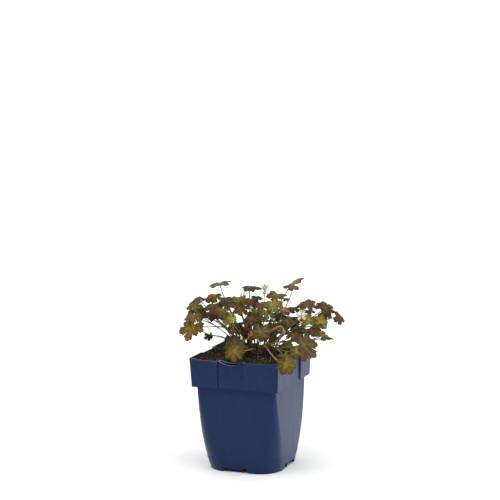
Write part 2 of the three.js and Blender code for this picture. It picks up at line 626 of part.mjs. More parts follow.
// A petiole from its foot to its seat under the hub. It leaves along `heading`, may bow
// sideways and rise, and comes in from below and behind the blade.
function petioleCurve(foot, heading, leaf, seat, bow, lift) {
  const reach = new THREE.Vector3().subVectors(seat, foot);
  const length = reach.length();
  const sideways = new THREE.Vector3(-reach.y, reach.x, 0).normalize();
  const tip = new THREE.Vector3().setFromMatrixColumn(leaf.frame, 0);
  const normal = new THREE.Vector3().setFromMatrixColumn(leaf.frame, 2);
  const arrival = reach.clone().normalize();
  arrival.addScaledVector(normal, leaf.head ? 1.6 : 0.7).addScaledVector(tip, leaf.head ? 0 : 0.3);
  arrival.normalize();
  const p1 = foot.clone().addScaledVector(heading, length * 0.3).addScaledVector(sideways, bow);
  const p2 = seat.clone().addScaledVector(arrival, -length * 0.28).addScaledVector(sideways, bow);
  p2.z += lift;
  return bezier(foot, p1, p2, seat, length > 34 ? 4 : 3);
}

// A petiole through hand-set points, smoothed.
function guidedCurve(foot, via, seat) {
  const curve = new THREE.CatmullRomCurve3([foot, ...via.map(toPot), seat], false, 'centripetal');
  const steps = Math.max(6, 2 * via.length);
  return Array.from({ length: steps + 1 }, (unused, i) => curve.getPoint(i / steps));
}

// ---------------------------------------------------------------- flowers and fruit
// A straight form of changing girth: `profile` lists [distance along, radius].
function spindle(direction, profile, sides) {
  const turn = new THREE.Quaternion().setFromUnitVectors(UP, direction);
  return toSolid(loft(profile.map(([along, radius]) => Array.from({ length: sides }, (unused, i) => {
    const angle = i / sides * 2 * Math.PI;
    const point = new THREE.Vector3(radius * Math.cos(angle), radius * Math.sin(angle), along);
    return point.applyQuaternion(turn);
  }))));
}

// Where a head's petals or beaks stand: the angle round its axis and the angle off it.
function headRays(head) {
  const count = head.kind === 'bloom' ? PETALS : head.beaks;
  return Array.from({ length: count }, (unused, k) => ({
    around: (k + 0.5) / count * 2 * Math.PI,
    open: (head.kind === 'bloom' ? head.open : 10 + 9 * (k % 3)) * DEG,
  }));
}

function rayDirection({ around, open }) {
  return new THREE.Vector3(
    Math.sin(open) * Math.cos(around), Math.sin(open) * Math.sin(around), Math.cos(open));
}

// A petal or sepal standing out along a ray from `base` on the head's axis: narrow at its
// foot, widest past its middle and blunt at its tip.
function petalSolid(ray, length, width, base) {
  const along = rayDirection(ray);
  const across = new THREE.Vector3(-Math.sin(ray.around), Math.cos(ray.around), 0);
  const inward = new THREE.Vector3().crossVectors(along, across);
  const outline = [[0, -0.2], [0.62, -0.5], [1, -0.14], [1, 0.14], [0.62, 0.5], [0, 0.2]];
  const layer = (offset) => outline.map(([share, side]) => {
    const curl = offset - 0.06 * length * share * share;
    const point = new THREE.Vector3(0, 0, base).addScaledVector(along, 0.5 + share * length);
    return point.addScaledVector(across, side * width).addScaledVector(inward, curl);
  });
  const faces = [[0, 1, 4], [0, 4, 5], [1, 2, 3], [1, 3, 4]];
  return plate(layer(PETAL_THICK / 2), layer(-PETAL_THICK / 2), faces, 0);
}

function petalsSolid(leaf) {
  const { head } = leaf;
  let solid = spindle(UP, [[0, 1.2], [1.6, 1]], 5);
  solid = solid.add(spindle(UP, [[1, 0.5], [head.length * 0.5, 0.4]], 3));
  for (const ray of headRays(head)) solid = solid.add(petalSolid(ray, head.length, head.width, 0.3));
  return solid.transform(leaf.frame.elements);
}

function sepalsSolid(leaf) {
  const { head } = leaf;
  let solid = spindle(UP, [[-2.2, 0.6], [-0.4, 0.9]], 5);
  for (const { around, open } of headRays(head)) {
    const ray = { around: around + Math.PI / PETALS, open: open + 38 * DEG };
    solid = solid.add(petalSolid(ray, head.length * 0.42, 1.5, -1.3));
  }
  return solid.transform(leaf.frame.elements);
}

function beaksSolid(leaf) {
  const { head } = leaf;
  const profile = [[0.3, 0.45], [2.6, 0.5], [4, 1.5], [head.length + 2.5, 0.4]];
  let solid = spindle(UP, [[-0.8, 0.8], [1.2, 1.3]], 5);
  for (const ray of headRays(head)) solid = solid.add(spindle(rayDirection(ray), profile, 3));
  return solid.transform(leaf.frame.elements);
}

// ---------------------------------------------------------------- keeping clear
// Occupied space is kept as small balls in a grid of cells. Two nodes are clear of each
// other while no ball of one comes within GAP of a ball of the other.
const CELL = 3.6;
const occupied = new Map();

function cellOf(value) {
  return Math.floor(value / CELL) + 200;
}

function occupy(balls, node) {
  for (const { point, radius } of balls) {
    const key = (cellOf(point.x) * 400 + cellOf(point.y)) * 400 + cellOf(point.z);
    if (!occupied.has(key)) occupied.set(key, []);
    occupied.get(key).push({ point, radius, node });
  }
}

// True if the ball is above the compost, above the rim, or beyond the pot.
function clearOfPot({ point, radius }) {
  const reach = Math.max(Math.abs(point.x), Math.abs(point.y));
  if (reach > POT.rimHalf + radius + GAP) return true;
  const insideMouth = reach < POT.rimHalf - 9 - radius;
  const ground = insideMouth ? SOIL.level + 1.6 : POT.height;
  return point.z > ground + radius + GAP - 0.6;
}

// True if no ball meets another node's; balls of the leaf's own node near `joint` don't count.
function isClear(balls, node, joint, joinReach) {
  for (const ball of balls) {
    if (!clearOfPot(ball)) return false;
    const cx = cellOf(ball.point.x);
    const cy = cellOf(ball.point.y);
    const cz = cellOf(ball.point.z);
    for (let x = cx - 1; x <= cx + 1; x += 1) {
      for (let y = cy - 1; y <= cy + 1; y += 1) {
        for (let z = cz - 1; z <= cz + 1; z += 1) {
          for (const other of occupied.get((x * 400 + y) * 400 + z) ?? []) {
            const distance = other.point.distanceTo(ball.point);
            if (distance >= other.radius + ball.radius + GAP) continue;
            const own = other.node === node;
            if (own && joint && ball.point.distanceTo(joint) < joinReach) continue;
            return false;
          }
        }
      }
    }
  }
  return true;
}

function outlineAt(outline, degrees) {
  const next = outline.findIndex(([angle]) => angle > degrees);
  const [a0, d0] = outline[(next < 0 ? outline.length : next) - 1];
  const [a1, d1] = next < 0 ? [180, outline[0][1]] : outline[next];
  return d0 + (d1 - d0) * (degrees - a0) / (a1 - a0);
}

const BALL_STEP = 2.8;
const BLADE_BALL = 1.4;

function bladeBalls(leaf) {
  const outline = bladeOutline(leaf);
  const balls = [];
  for (let distance = 0; distance < leaf.radius * 1.1; distance += BALL_STEP) {
    const count = Math.max(1, Math.ceil(2 * Math.PI * distance / BALL_STEP));
    for (let i = 0; i < count; i += 1) {
      const degrees = -180 + 360 * i / count;
      if (distance > outlineAt(outline, degrees)) continue;
      balls.push({ point: bladePoint(leaf, degrees, distance, 0), radius: BLADE_BALL });
    }
  }
  for (const [degrees, distance] of outline) {
    if (distance < leaf.radius * 0.6) continue;
    balls.push({ point: bladePoint(leaf, degrees, distance, 0), radius: BLADE_BALL });
  }
  return balls;
}

function headBalls(leaf) {
  const balls = [];
  for (const ray of headRays(leaf.head)) {
    const direction = rayDirection(ray);
    for (let along = 0; along < leaf.head.length + 2.5; along += BALL_STEP / 2) {
      const point = direction.clone().multiplyScalar(along).applyMatrix4(leaf.frame);
      balls.push({ point, radius: BLADE_BALL });
    }
  }
  return balls;
}

function stemBalls(points, radius) {
  const balls = [];
  for (let i = 0; i + 1 < points.length; i += 1) {
    const steps = Math.max(1, Math.ceil(points[i].distanceTo(points[i + 1]) / 1.5));
    for (let k = 0; k < steps; k += 1) {
      const point = points[i].clone().lerp(points[i + 1], k / steps);
      balls.push({ point, radius: radius + 0.25 });
    }
  }
  return balls;
}

// ---------------------------------------------------------------- planting
// Stems stand in the crown on a sunflower spiral, so their holes keep an even distance.
function crownSlots() {
  return Array.from({ length: CROWN.slots }, (unused, k) => {
    const distance = Math.sqrt((k + 0.5) / CROWN.slots);
    const angle = k * 137.508 * DEG;
    const across = CROWN.across + CROWN.reachAcross * distance * Math.cos(angle);
    const away = CROWN.away + CROWN.reachAway * distance * Math.sin(angle);
    return { across, away, free: true };
  });
}

const slots = crownSlots();
const stems = [];
const shoots = new Map();
const unplaced = [];

function slotFoot(slot) {
  const ground = toPot([slot.across, slot.away, 0]);
  ground.z = soilHeight(ground.x, ground.y);
  return ground;
}

// The free places in the crown nearest to where a leaf's stem would start.
function nearestSlots(leaf, count) {
  const wantAcross = CROWN.across + 0.36 * (leaf.place[0] - CROWN.across);
  const wantAway = CROWN.away + 0.36 * (leaf.place[1] - CROWN.away);
  const free = slots.filter((slot) => slot.free);
  const far = (slot) => Math.hypot(slot.across - wantAcross, slot.away - wantAway);
  return free.sort((a, b) => far(a) - far(b)).slice(0, count);
}

function describe(row, number) {
  const [name, across, away, up, radius, lobes, bearing, lift, turn, tone, extra = {}] = row;
  const leaf = {
    name, radius, lobes, bearing, lift, turn, tone,
    place: [across, away, up],
    cup: extra.cup ?? 0.2,
    vee: extra.vee ?? 0,
    lengths: extra.lengths,
    stem: extra.stem ?? PETIOLE_RADIUS,
    via: extra.via,
    parent: extra.parent,
    teeth: teethFor(radius),
    seed: SEED + number * 101,
  };
  leaf.plan = lobePlan(leaf);
  return leaf;
}

function describeHead([name, kind, across, away, up, bearing, lift, shape]) {
  const place = [across, away, up];
  return { name, place, bearing, lift, turn: 0, stem: STALK_RADIUS, head: { kind, ...shape } };
}

// Every petiole that could carry the leaf on its seat, best first.
function* petioles(leaf, seat) {
  if (leaf.parent) {
    const [{ curve }] = shoots.get(leaf.parent);
    for (const k of [2, 3, 1]) {
      if (k + 1 >= curve.length) continue;
      const heading = new THREE.Vector3().subVectors(curve[k + 1], curve[k]).normalize();
      for (const lift of LIFTS) {
        for (const bow of BOWS) {
          yield { curve: petioleCurve(curve[k], heading, leaf, seat, bow, lift), joint: curve[k] };
        }
      }
    }
    return;
  }
  for (const slot of nearestSlots(leaf, leaf.via ? 1 : 4)) {
    const foot = slotFoot(slot);
    const top = foot.clone().addScaledVector(UP, 1);
    if (leaf.via) {
      yield { curve: guidedCurve(top, leaf.via, seat), slot, foot };
      continue;
    }
    for (const lift of LIFTS) {
      for (const bow of BOWS) {
        yield { curve: petioleCurve(top, UP, leaf, seat, bow, lift), slot, foot };
      }
    }
  }
}

// Places one leaf: it slides back and forth until its blade is clear, and its petiole is
// bent until that is clear too. A guided leaf stands where it is put.
function placeLeaf(leaf) {
  const node = leaf.parent ?? leaf.name;
  for (const slide of leaf.via ? [0] : SLIDES) {
    const place = leaf.place.map((value, axis) => value + DEPTH[axis] * slide);
    const hub = toPot(place);
    leaf.frame = bladeFrame(leaf, hub);
    const blade = leaf.head ? headBalls(leaf) : bladeBalls(leaf);
    if (!leaf.via && !isClear(blade, node, null, 0)) continue;
    const seat = new THREE.Vector3(0, 0, leaf.head ? -HEAD_GAP : -0.55 * leaf.stem);
    seat.applyMatrix4(leaf.frame);
    for (const { curve, slot, foot, joint } of petioles(leaf, seat)) {
      const balls = stemBalls(curve, leaf.stem);
      const tested = balls.slice(joint ? 0 : 2);
      if (!leaf.via && !isClear(tested, node, joint, 4.5)) continue;
      return { leaf, curve, slot, foot, blade, balls };
    }
  }
  return null;
}

function plant(leaf) {
  const rootless = leaf.parent && !shoots.has(leaf.parent);
  const placed = rootless ? null : placeLeaf(leaf);
  if (!placed) {
    unplaced.push(leaf.name);
    return;
  }
  occupy([...placed.blade, ...placed.balls], leaf.parent ?? leaf.name);
  if (leaf.parent) {
    shoots.get(leaf.parent).push(placed);
    return;
  }
  placed.slot.free = false;
  stems.push({ x: placed.foot.x, y: placed.foot.y, radius: leaf.stem });
  shoots.set(leaf.name, [placed]);
}

function stemSolid({ leaf, curve, foot }) {
  const points = foot ? [foot.clone().addScaledVector(UP, -SOIL.holeDepth), ...curve] : curve;
  return tube(points, leaf.stem, PETIOLE_SIDES);
}

function shootSolid(shoot) {
  let solid = null;
  for (const placed of shoot) {
    const part = bladeSolid(placed.leaf).add(stemSolid(placed));
    solid = solid ? solid.add(part) : part;
  }
  return solid;
}

// A shoot on the far side: its leaf faces outward, and so do its side leaves.
function backShoot(number, random) {
  const middle = BACK.from + (BACK.to - BACK.from) * (number + 0.2 + 0.6 * random()) / BACK.shoots;
  const rows = [];
  for (let k = 0; k <= BACK.sideLeaves; k += 1) {
    const around = middle + (k === 0 ? 0 : 40 * (random() - 0.5));
    const reach = 18 + 50 * random();
    const across = CROWN.across + 1.12 * reach * Math.cos(around * DEG);
    const away = CROWN.away + 6 + reach * Math.sin(around * DEG);
    const up = 53 - 0.14 * away - 0.1 * reach + 9 * (random() - 0.6) - 6 * k;
    const radius = k === 0 ? 11 + 2.5 * random() : 8.5 + 3 * random();
    const tone = BACK_TONES[Math.floor(random() * BACK_TONES.length)];
    const name = k === 0 ? `back_${number + 1}` : `back_${number + 1}_side_${k}`;
    const extra = k === 0 ? {} : { parent: `back_${number + 1}` };
    const lift = 58 + 26 * random();
    const turn = 60 * (random() - 0.5);
    rows.push([name, across, away, up, radius, 5, around + 90, lift, turn, tone, extra]);
  }
  return rows;
}

// ---------------------------------------------------------------- the object
const object = new THREE.Group();

function addNode(name, solid, color, roughness) {
  const material = new THREE.MeshStandardMaterial({ color, roughness, metalness: 0 });
  const mesh = new THREE.Mesh(toGeometry(solid), material);
  mesh.name = name;
  object.add(mesh);
}

const leaves = LEAVES.map(describe);
leaves.filter((leaf) => leaf.via).forEach(plant);
HEADS.map(describeHead).forEach(plant);
leaves.filter((leaf) => !leaf.via).forEach(plant);
const random = seeded(SEED);
for (let number = 0; number < BACK.shoots; number += 1) {
  backShoot(number, random).forEach((row, k) => {
    plant(describe(row, 200 + number * 5 + k));
  });
}

addNode('pot', buildPot(), 0x23355c, 0.45);
addNode('compost', buildCompost(stems), 0x2a1f16, 0.95);
for (const [name, shoot] of shoots) {
  const [placed] = shoot;
  const { leaf } = placed;
  if (!leaf.head) {
    addNode(`shoot_${name}`, shootSolid(shoot), TONES[leaf.tone], 0.55);
  } else if (leaf.head.kind === 'bloom') {
    addNode(`${name}_petals`, petalsSolid(leaf), HEAD_COLORS.petals, 0.6);
    addNode(`${name}_stalk`, stemSolid(placed).add(sepalsSolid(leaf)), HEAD_COLORS.stalk, 0.55);
  } else {
    addNode(name, stemSolid(placed).add(beaksSolid(leaf)), HEAD_COLORS.beaks, 0.7);
  }
}
// The names of the leaves that found no clear place and were left out.
object.userData.leftOut = unplaced;
export default object;
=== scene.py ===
"""Potted hardy geranium: the finished look of the plant, its compost and its nursery pot.

Laid out as an add-on and run as a script. Lengths in the tables are in millimetres, +Z up,
with the origin under the middle of the pot; meshes are in metres. The plant is planned in a
frame of its own: across (to the right), away (to the back) and up from the rim.
"""
import json
import math
from functools import partial
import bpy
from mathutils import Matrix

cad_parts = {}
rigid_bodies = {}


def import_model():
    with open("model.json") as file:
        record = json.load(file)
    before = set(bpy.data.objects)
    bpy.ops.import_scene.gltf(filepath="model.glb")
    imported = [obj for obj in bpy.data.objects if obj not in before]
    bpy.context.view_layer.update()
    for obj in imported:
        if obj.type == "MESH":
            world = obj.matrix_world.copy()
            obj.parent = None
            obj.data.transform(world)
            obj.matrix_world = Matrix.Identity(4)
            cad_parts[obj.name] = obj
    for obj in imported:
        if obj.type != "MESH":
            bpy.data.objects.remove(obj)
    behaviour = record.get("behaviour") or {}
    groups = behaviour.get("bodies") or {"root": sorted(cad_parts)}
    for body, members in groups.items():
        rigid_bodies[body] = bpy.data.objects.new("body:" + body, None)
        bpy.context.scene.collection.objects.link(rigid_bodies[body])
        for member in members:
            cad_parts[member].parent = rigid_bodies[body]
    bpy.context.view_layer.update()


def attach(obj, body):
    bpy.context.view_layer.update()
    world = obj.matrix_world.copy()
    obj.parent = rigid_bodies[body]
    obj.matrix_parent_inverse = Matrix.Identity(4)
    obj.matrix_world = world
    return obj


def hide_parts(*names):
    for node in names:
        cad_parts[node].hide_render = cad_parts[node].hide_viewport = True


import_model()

from types import SimpleNamespace as Record

import bpy
import numpy as np
from bpy.props import FloatProperty, FloatVectorProperty, PointerProperty
from mathutils import Matrix, Vector

bl_info = {
    "name": "Potted hardy geranium",
    "version": (1, 0, 0),
    "blender": (4, 5, 0),
    "location": "3D View > Sidebar > Geranium",
    "description": "Builds a small bronze-leaved hardy geranium in a square nursery pot",
    "category": "Object",
}

# ---------- driving dimensions, mm
MM = 0.001
DEG = math.pi / 180
UPWARD = np.array([0.0, 0.0, 1.0])
POT = Record(
    height=135.5, rim_half=55.5, rim_foot_half=53.9, rim_depth=34.4, rim_corner=1.2, wall=1.6,
    neck_half=49.4, body_bulge=2.1, body_taper=7.15, neck_corner=2.5, base_corner=27.8,
    floor_under=5, floor_top=7, pad_radius=13)
RECESS = Record(low=-21, high=12.5, depth=2.8)  # the shallow bay in each side of the rim
LABEL_SLOT = Record(width=28, depth=12, gap=2.4, lip=1.3, floor=3,
                    outer_arc=31, outer_dip=4.7, inner_arc=29, inner_dip=2.4)
EDGE_DIP = Record(depth=1.7, far=51, near=45, reach=16)
FOOT_CUTS = [(-19.4, 4.4, 4.3), (4.8, 11.1, 5.6), (11.1, 19.5, 1)]  # each from, to and top
FOOT_CUT_REACH = (-48, -37)
FOOT_WEB = Record(outer=-42.4, inner=-40.8, low=0.4)
DRAIN = Record(radius=4, at=23)
FOOT_LINE = Record(low=15.0, high=15.4, proud=0.3)  # a fine moulded step round the foot
OVERSHOOT = 5  # how far a cutter reaches past what it cuts
NECK_Z = POT.height - POT.rim_depth  # where the rim band starts
SOIL = Record(level=132.5, relief=0.8, side_rise=1.2, hole_depth=8)

# The plan of the plant, whose frame is turned about Z in the pot's and shifted across.
PLANT_TURN = 22.28
PLANT_ASIDE = 0.6
CROWN = Record(across=4, away=6, reach_across=25, reach_away=18, slots=62)
FOOT_PULL = 0.36  # how far a stem's foot is drawn towards its leaf
DEPTH = np.array([0, 0.989, -0.147])  # straight away from the camera
SLIDES = [0, 3, -3, 6, -6, 9, -9, 13, -13, 17, -17, 22, -22, 27, -27]  # of a leaf along DEPTH
BOWS = [0, 3, -3, 6, -6, 10, -10, 15, -15]  # of a petiole, sideways
LIFTS = [0, 5, -4, 10]  # of a petiole's upper half
LONG_PETIOLE = 34  # beyond this it has four coarse steps, else three
GAP = 0.35  # the least gap between the balls of two nodes
BALL_STEP = 2.8  # the space between balls on a blade
BLADE_BALL = 1.4  # their radius
STEM_BALL_STEP = 1.5  # the most there is between balls along a stem
STEM_MARGIN = 0.25  # how much thicker than the stem they are
JOINT_REACH = 4.5  # how near its joint a side petiole may meet its shoot
MOUTH_INSET = 9  # from the rim's outside in to the open compost
GROUND = Record(rise=1.6, play=0.6)  # how high the ground counts, and how far balls sink in
PETIOLE_RADIUS = 0.7
STALK_RADIUS = 0.5
HEAD_GAP = 0.55  # from a head's base down to the end of its stalk
LOBE_STEPS = {5: 57, 7: 45}  # degrees between lobes, by their number
# The edge's distance from the hub, in radii: at the petiole, beside the outermost lobes, and
# between the others.
STALK_NOTCH = 0.1
OUTER_VALLEY = 0.4
VALLEY = 0.46
FINE_FROM = 14  # the radius from which dents part the teeth
PLAIN_BELOW = 11.2  # the radius below which a lobe has two teeth
SEED = 71

# Each leaf: name, across, away and up of its hub, radius, lobes, bearing and lift of its
# upper face, turn of its middle lobe, tone, and what is special about it.
LEAVES = [
    ("drooping", 11.9, -38, 32.2, 13.5, 7, -5, 12, 0, "grey",
     {"via": [(12.3, -20, 12.2), (25.2, -24, 14.2), (32.2, -28, 20.6), (37.3, -30, 32.5),
              (33.1, -32, 36.5), (23.8, -36, 32.4)], "stem": 1.1}),
    ("withered", 3, -26, 27.6, 5.8, 5, 30, 10, 0, "withered",
     {"via": [(-19.2, -6, 17), (-10.2, -12, 16.6), (-3.9, -18, 19.2), (-0.5, -22, 26)],
      "cup": 0.7}),
    ("over_rim", 38.9, -77, 1.9, 13.8, 7, 10, 20, 25, "gold",
     {"via": [(13.8, -22, 12.5), (21.9, -46, 7.4), (29.5, -72, 4.6)], "stem": 0.85}),
    ("over_rim_upper", 37.5, -66, 9, 9, 5, 20, 40, 20, "olive",
     {"via": [(26.5, -26, 12.5), (33.7, -54, 9.5)]}),
    ("low_right", 58.8, -42, 16.4, 19.5, 7, 10, 28, 94, "grey",
     {"via": [(29.4, -14, 5.6), (50.3, -32, 12.3)], "stem": 0.9,
      "lengths": (0.6, 1.02, 1.1, 0.98, 0.8, 0.72, 0.64)}),
    ("big_left", -67.6, -24, 36, 17.5, 7, -10, 30, -22, "gold",
     {"via": [(-30, -6, 17.5), (-50, -16, 25)],
      "lengths": (0.66, 0.76, 1.04, 1.04, 0.68, 0.76, 0.76)}),
    ("small_left", -49.6, -12, 22.6, 6.8, 5, 30, 10, 0, "dark", {"parent": "big_left"}),
    ("butterfly", -35.8, -4, 81.8, 15.4, 5, -40, 75, 220, "olive", {"vee": 0.25, "cup": 0.3}),
    ("flat_top", -0.4, 8, 76.4, 15.4, 7, 60, 88, 0, "dark"),
    ("top_right", 31, -8, 69, 13.4, 5, 10, 68, -30, "olive",
     {"vee": 0.15, "lengths": (0.8, 1, 1, 0.8, 0.9)}),
    ("green_top", 51.6, 6, 81.4, 13.6, 5, -86, 61, 180, "olive", {"cup": 0.1}),
    ("brown_top", 46.8, -8, 80, 12, 5, 30, 74, 30, "bronze"),
    ("right_dome", 65.9, -4, 55, 13.4, 7, -10, 54, 180, "bronze"),
    ("right_slope", 86.4, 4, 50.2, 15, 7, 25, 54, 110, "dark"),
    ("right_tip", 101.4, -6, 42, 12, 5, 50, 36, 60, "bronze"),
    ("right_olive", 67.5, -22, 38.6, 11.5, 5, 0, 30, 180, "olive"),
    ("right_green", 82, -10, 36, 11.4, 5, 30, 30, 150, "olive"),
    ("right_low", 82.5, -8, 19.5, 10, 5, 20, 40, 140, "olive"),
    ("right_edge", 87.4, 6, 15, 10.8, 5, 90, 84, 0, "dark", {"parent": "right_low"}),
    ("right_rust", 71.9, -26, 29, 7.5, 5, 0, 30, 0, "rust", {"parent": "right_green"}),
    ("right_back", 69.6, 18, 44.5, 8, 5, 0, 80, 0, "dark", {"parent": "right_slope"}),
    ("low_right_inner", 51.7, -28, 7, 9.5, 5, -10, 35, -60, "olive", {"parent": "low_right"}),
    ("low_centre", 41.6, -16, 13.4, 8.5, 5, 0, 50, 0, "olive"),
    ("low_teal", 49, -20, 2.2, 6, 5, 10, 60, 0, "dark", {"parent": "low_centre"}),
    ("front_upper", -18.8, -34, 12.6, 14.8, 7, 0, 36, 180, "grey"),
    ("front_lower", -20, -46, 11.4, 13.6, 7, 0, 44, 0, "gold"),
    ("gold_left", -42.7, 6, 67, 10.6, 5, 0, 66, 0, "gold"),
    ("grey_left", -62.5, 16, 63, 11, 5, -70, 70, 0, "grey", {"cup": 0.4}),
    ("band_left", -50, 22, 60.4, 10, 5, -10, 78, 0, "bronze", {"parent": "gold_left"}),
    ("olive_left", -67, -6, 55.4, 12.4, 5, -20, 40, 160, "olive"),
    ("dark_left", -56, 6, 47.5, 12, 5, -20, 56, -60, "dark"),
    ("brown_left", -66.6, -6, 46.4, 12.4, 5, -10, 60, 0, "bronze", {"parent": "olive_left"}),
    ("mass_left", -45.5, -2, 46.8, 12.6, 5, 0, 72, 0, "dark"),
    ("mass_mid", -34, 8, 43.6, 11.6, 5, 10, 74, 0, "dark"),
    ("dark_olive", -43.2, -18, 59.6, 13, 5, -10, 66, 0, "bronze"),
    ("dark_green", -28.4, -10, 66.2, 10.4, 5, 10, 66, 0, "dark", {"cup": 0.35}),
    ("brown_mid", -33.5, -10, 53.4, 11, 5, -20, 60, 0, "bronze"),
    ("bright", -20.9, -28, 43.9, 9, 5, 45, 15, 180, "bright"),
    ("tan", -28.4, -22, 42.4, 6, 5, 0, 40, 0, "tan", {"parent": "bright"}),
    ("gold_mid", -14.8, 4, 63.4, 10, 5, 0, 64, 0, "gold"),
    ("brown_inner", -12.4, -10, 53.8, 10.5, 5, 0, 56, 0, "bronze"),
    ("dark_back", 6.9, 18, 62, 8.4, 5, 0, 70, 0, "dark", {"parent": "flat_top"}),
    ("dark_top", -0.6, 2, 62.6, 9.2, 5, -20, 62, 0, "bronze"),
    ("red_brown", 11, -4, 58.2, 10.6, 5, 0, 56, 0, "rust"),
    ("big_olive", 25.6, -14, 60.8, 13.4, 7, 0, 60, 20, "olive"),
    ("olive_inner", 17.5, -24, 52.8, 10.6, 5, 0, 48, 0, "olive"),
    ("red_centre", 0.7, -20, 45.4, 10.4, 5, -20, 40, 0, "rust"),
    ("pink", 38.5, -18, 54, 6.6, 5, 0, 46, 0, "red", {"parent": "top_right"}),
    ("dark_right", 49.4, 16, 48.6, 10, 5, 0, 74, 0, "dark"),
    ("inner_a", 33.5, -6, 45, 10.6, 5, -15, 60, 0, "dark"),
    ("inner_b", 42, -18, 41.6, 10.4, 5, 15, 50, 0, "bronze"),
    ("inner_c", 34.7, -26, 34.6, 9.6, 5, 10, 44, 0, "olive", {"parent": "inner_b"}),
    ("inner_d", 48.6, -4, 31.4, 10.6, 5, 10, 60, 0, "dark", {"parent": "inner_a"}),
    ("inner_e", 53.8, 8, 37.4, 10.4, 5, 10, 74, 0, "dark", {"parent": "dark_right"}),
    ("inner_f", 44.3, 4, 48, 9, 5, -10, 70, 0, "olive", {"parent": "dark_right"}),
    ("bud_leaf", 42.4, 6, 61.6, 5, 5, 20, 70, 0, "dark", {"parent": "inner_a"}),
    ("left_fill", -28, 4, 57.4, 9.8, 5, -10, 56, 0, "olive", {"parent": "mass_left"}),
    ("left_edge", -68, 0, 50.4, 8, 5, -20, 50, 0, "bronze", {"parent": "olive_left"}),
    ("low_left", -25, 6, 15.6, 8.4, 5, -10, 46, 0, "dark", {"parent": "front_upper"}),
    ("mid_fill", -16, 8, 56, 9.8, 5, 0, 54, 0, "bronze", {"parent": "gold_mid"}),
    ("top_fill", -3, 10, 56.6, 9.8, 5, 0, 56, 0, "dark", {"parent": "dark_top"}),
    ("centre_fill", 6.6, 4, 48.6, 10, 5, 0, 50, 0, "olive", {"parent": "red_brown"}),
    ("right_mid", 86, -4, 45.4, 11.4, 5, 20, 40, 60, "bronze", {"parent": "right_tip"}),
    ("right_fill", 78.5, -6, 31.6, 10.2, 5, 10, 46, 0, "bronze", {"parent": "right_olive"}),
    ("right_under", 48.6, -8, 22.4, 9.4, 5, 0, 46, 0, "bronze", {"parent": "low_centre"}),
    ("right_under_back", 58, 2, 26.4, 10.4, 5, 0, 50, 0, "dark", {"parent": "dark_right"}),
    ("right_gap", 65, 2, 23, 8.8, 5, 0, 50, 0, "bronze", {"parent": "right_low"}),
    ("low_back", -8.8, 26, 23.4, 12, 5, 0, 46, 0, "dark"),
    ("low_back_left", -19.3, 22, 28, 11, 5, -10, 50, 0, "dark", {"parent": "low_back"}),
    ("low_back_under", -3, 32, 14, 10, 5, 0, 50, 0, "olive", {"parent": "low_back"}),
    ("far_back", 17, 28, 23, 12, 5, 0, 46, 0, "dark"),
    ("far_back_right", 28.6, 24, 26, 11.4, 5, 10, 50, 0, "bronze", {"parent": "far_back"}),
    ("far_back_under", 23.6, 30, 13, 9.4, 5, 0, 50, 0, "dark", {"parent": "far_back"}),
    ("mid_back", 5, 20, 32, 11, 5, 0, 50, 0, "dark", {"parent": "far_back"}),
]
# Lobes that redden towards their tips: the leaf, then the lobe's number and how far.
RED_LOBES = {"big_left": {3: 0.95, 2: 0.1}, "low_right": {2: 0.75, 1: 0.6}}
# How light single leaves are against their tone; the others differ by chance.
SHADES = {
    "right_tip": 0.6, "right_mid": 0.7, "right_slope": 1.2, "right_olive": 1.5, "right_green": 1.3,
    "front_upper": 0.74, "front_lower": 0.68, "low_right": 0.78, "drooping": 1.06, "over_rim": 0.76,
    "red_brown": 1.25, "red_centre": 1.15, "pink": 1.15, "big_olive": 1.25, "top_fill": 1.35,
    "flat_top": 1.15, "dark_back": 1.3, "big_left": 1.04, "bright": 0.82, "withered": 1.45,
    "butterfly": 1.05, "green_top": 1.2, "right_dome": 1.1,
}
# Material slots of the shoots that don't have the common one.
SLOTS = {"bright": "leaf_bright", "withered": "leaf_withered"}
# The far side's shoots: how many, over which bearings, and their reach, height and radius.
BACK = Record(shoots=7, low=12, high=168, side_leaves=2, reach=(18, 50), up=53,
              radius=(11, 2.5), side_radius=(8.5, 3), side_turn=40)
BACK_TONES = ["dark", "olive", "bronze", "olive", "dark", "gold", "bronze", "rust"]
# Teeth of a lobe: how far round from its middle, in steps, and how far out, in its length.
PLAIN_TEETH = [(-0.32, 0.95), (0.32, 0.95)]
TEETH = [(-0.41, 0.9), (0, 1), (0.41, 0.9)]
FINE_TEETH = [(-0.42, 0.88), (-0.2, 0.91), (0, 1), (0.2, 0.91), (0.42, 0.88)]

# Each flower or fruit head: name, kind, across, away and up of its base, bearing and lift of
# its axis, and its form.
HEADS = [
    ("bloom_1", "bloom", 16.6, -6, 71.1, 10, 74, {"length": 10.4, "open": 24}),
    ("bloom_2", "bloom", 58.9, -18, 44.6, 0, 38, {"length": 7.4, "open": 66}),
    ("seed_head", "beaks", -8.5, -4, 59.2, -20, 82, {"length": 12.5, "beaks": 5}),
]
PETALS = 5

# Leaf tones as sRGB: round the hub, over the blade, at the edge, and along the veins.
TONES = {
    "olive": ("7a7125", "5d5420", "403317", "887c37"),
    "bronze": ("645121", "58411f", "3c2815", "735b2e"),
    "dark": ("4a411f", "3a3016", "281e0f", "574b27"),
    "gold": ("918221", "6d5c1d", "4f3817", "8f7c35"),
    "bright": ("9c9a30", "828126", "64601e", "a8a448"),
    "rust": ("694c25", "55381f", "3b2416", "6f4e30"),
    "red": ("a0805a", "86583e", "64422e", "ac8a66"),
    "tan": ("a38957", "98764a", "7a5a36", "b0966a"),
    "grey": ("6b6033", "5a4d29", "45361e", "776b3e"),
    "withered": ("b87030", "a8602a", "7c4019", "c08a4c"),
}


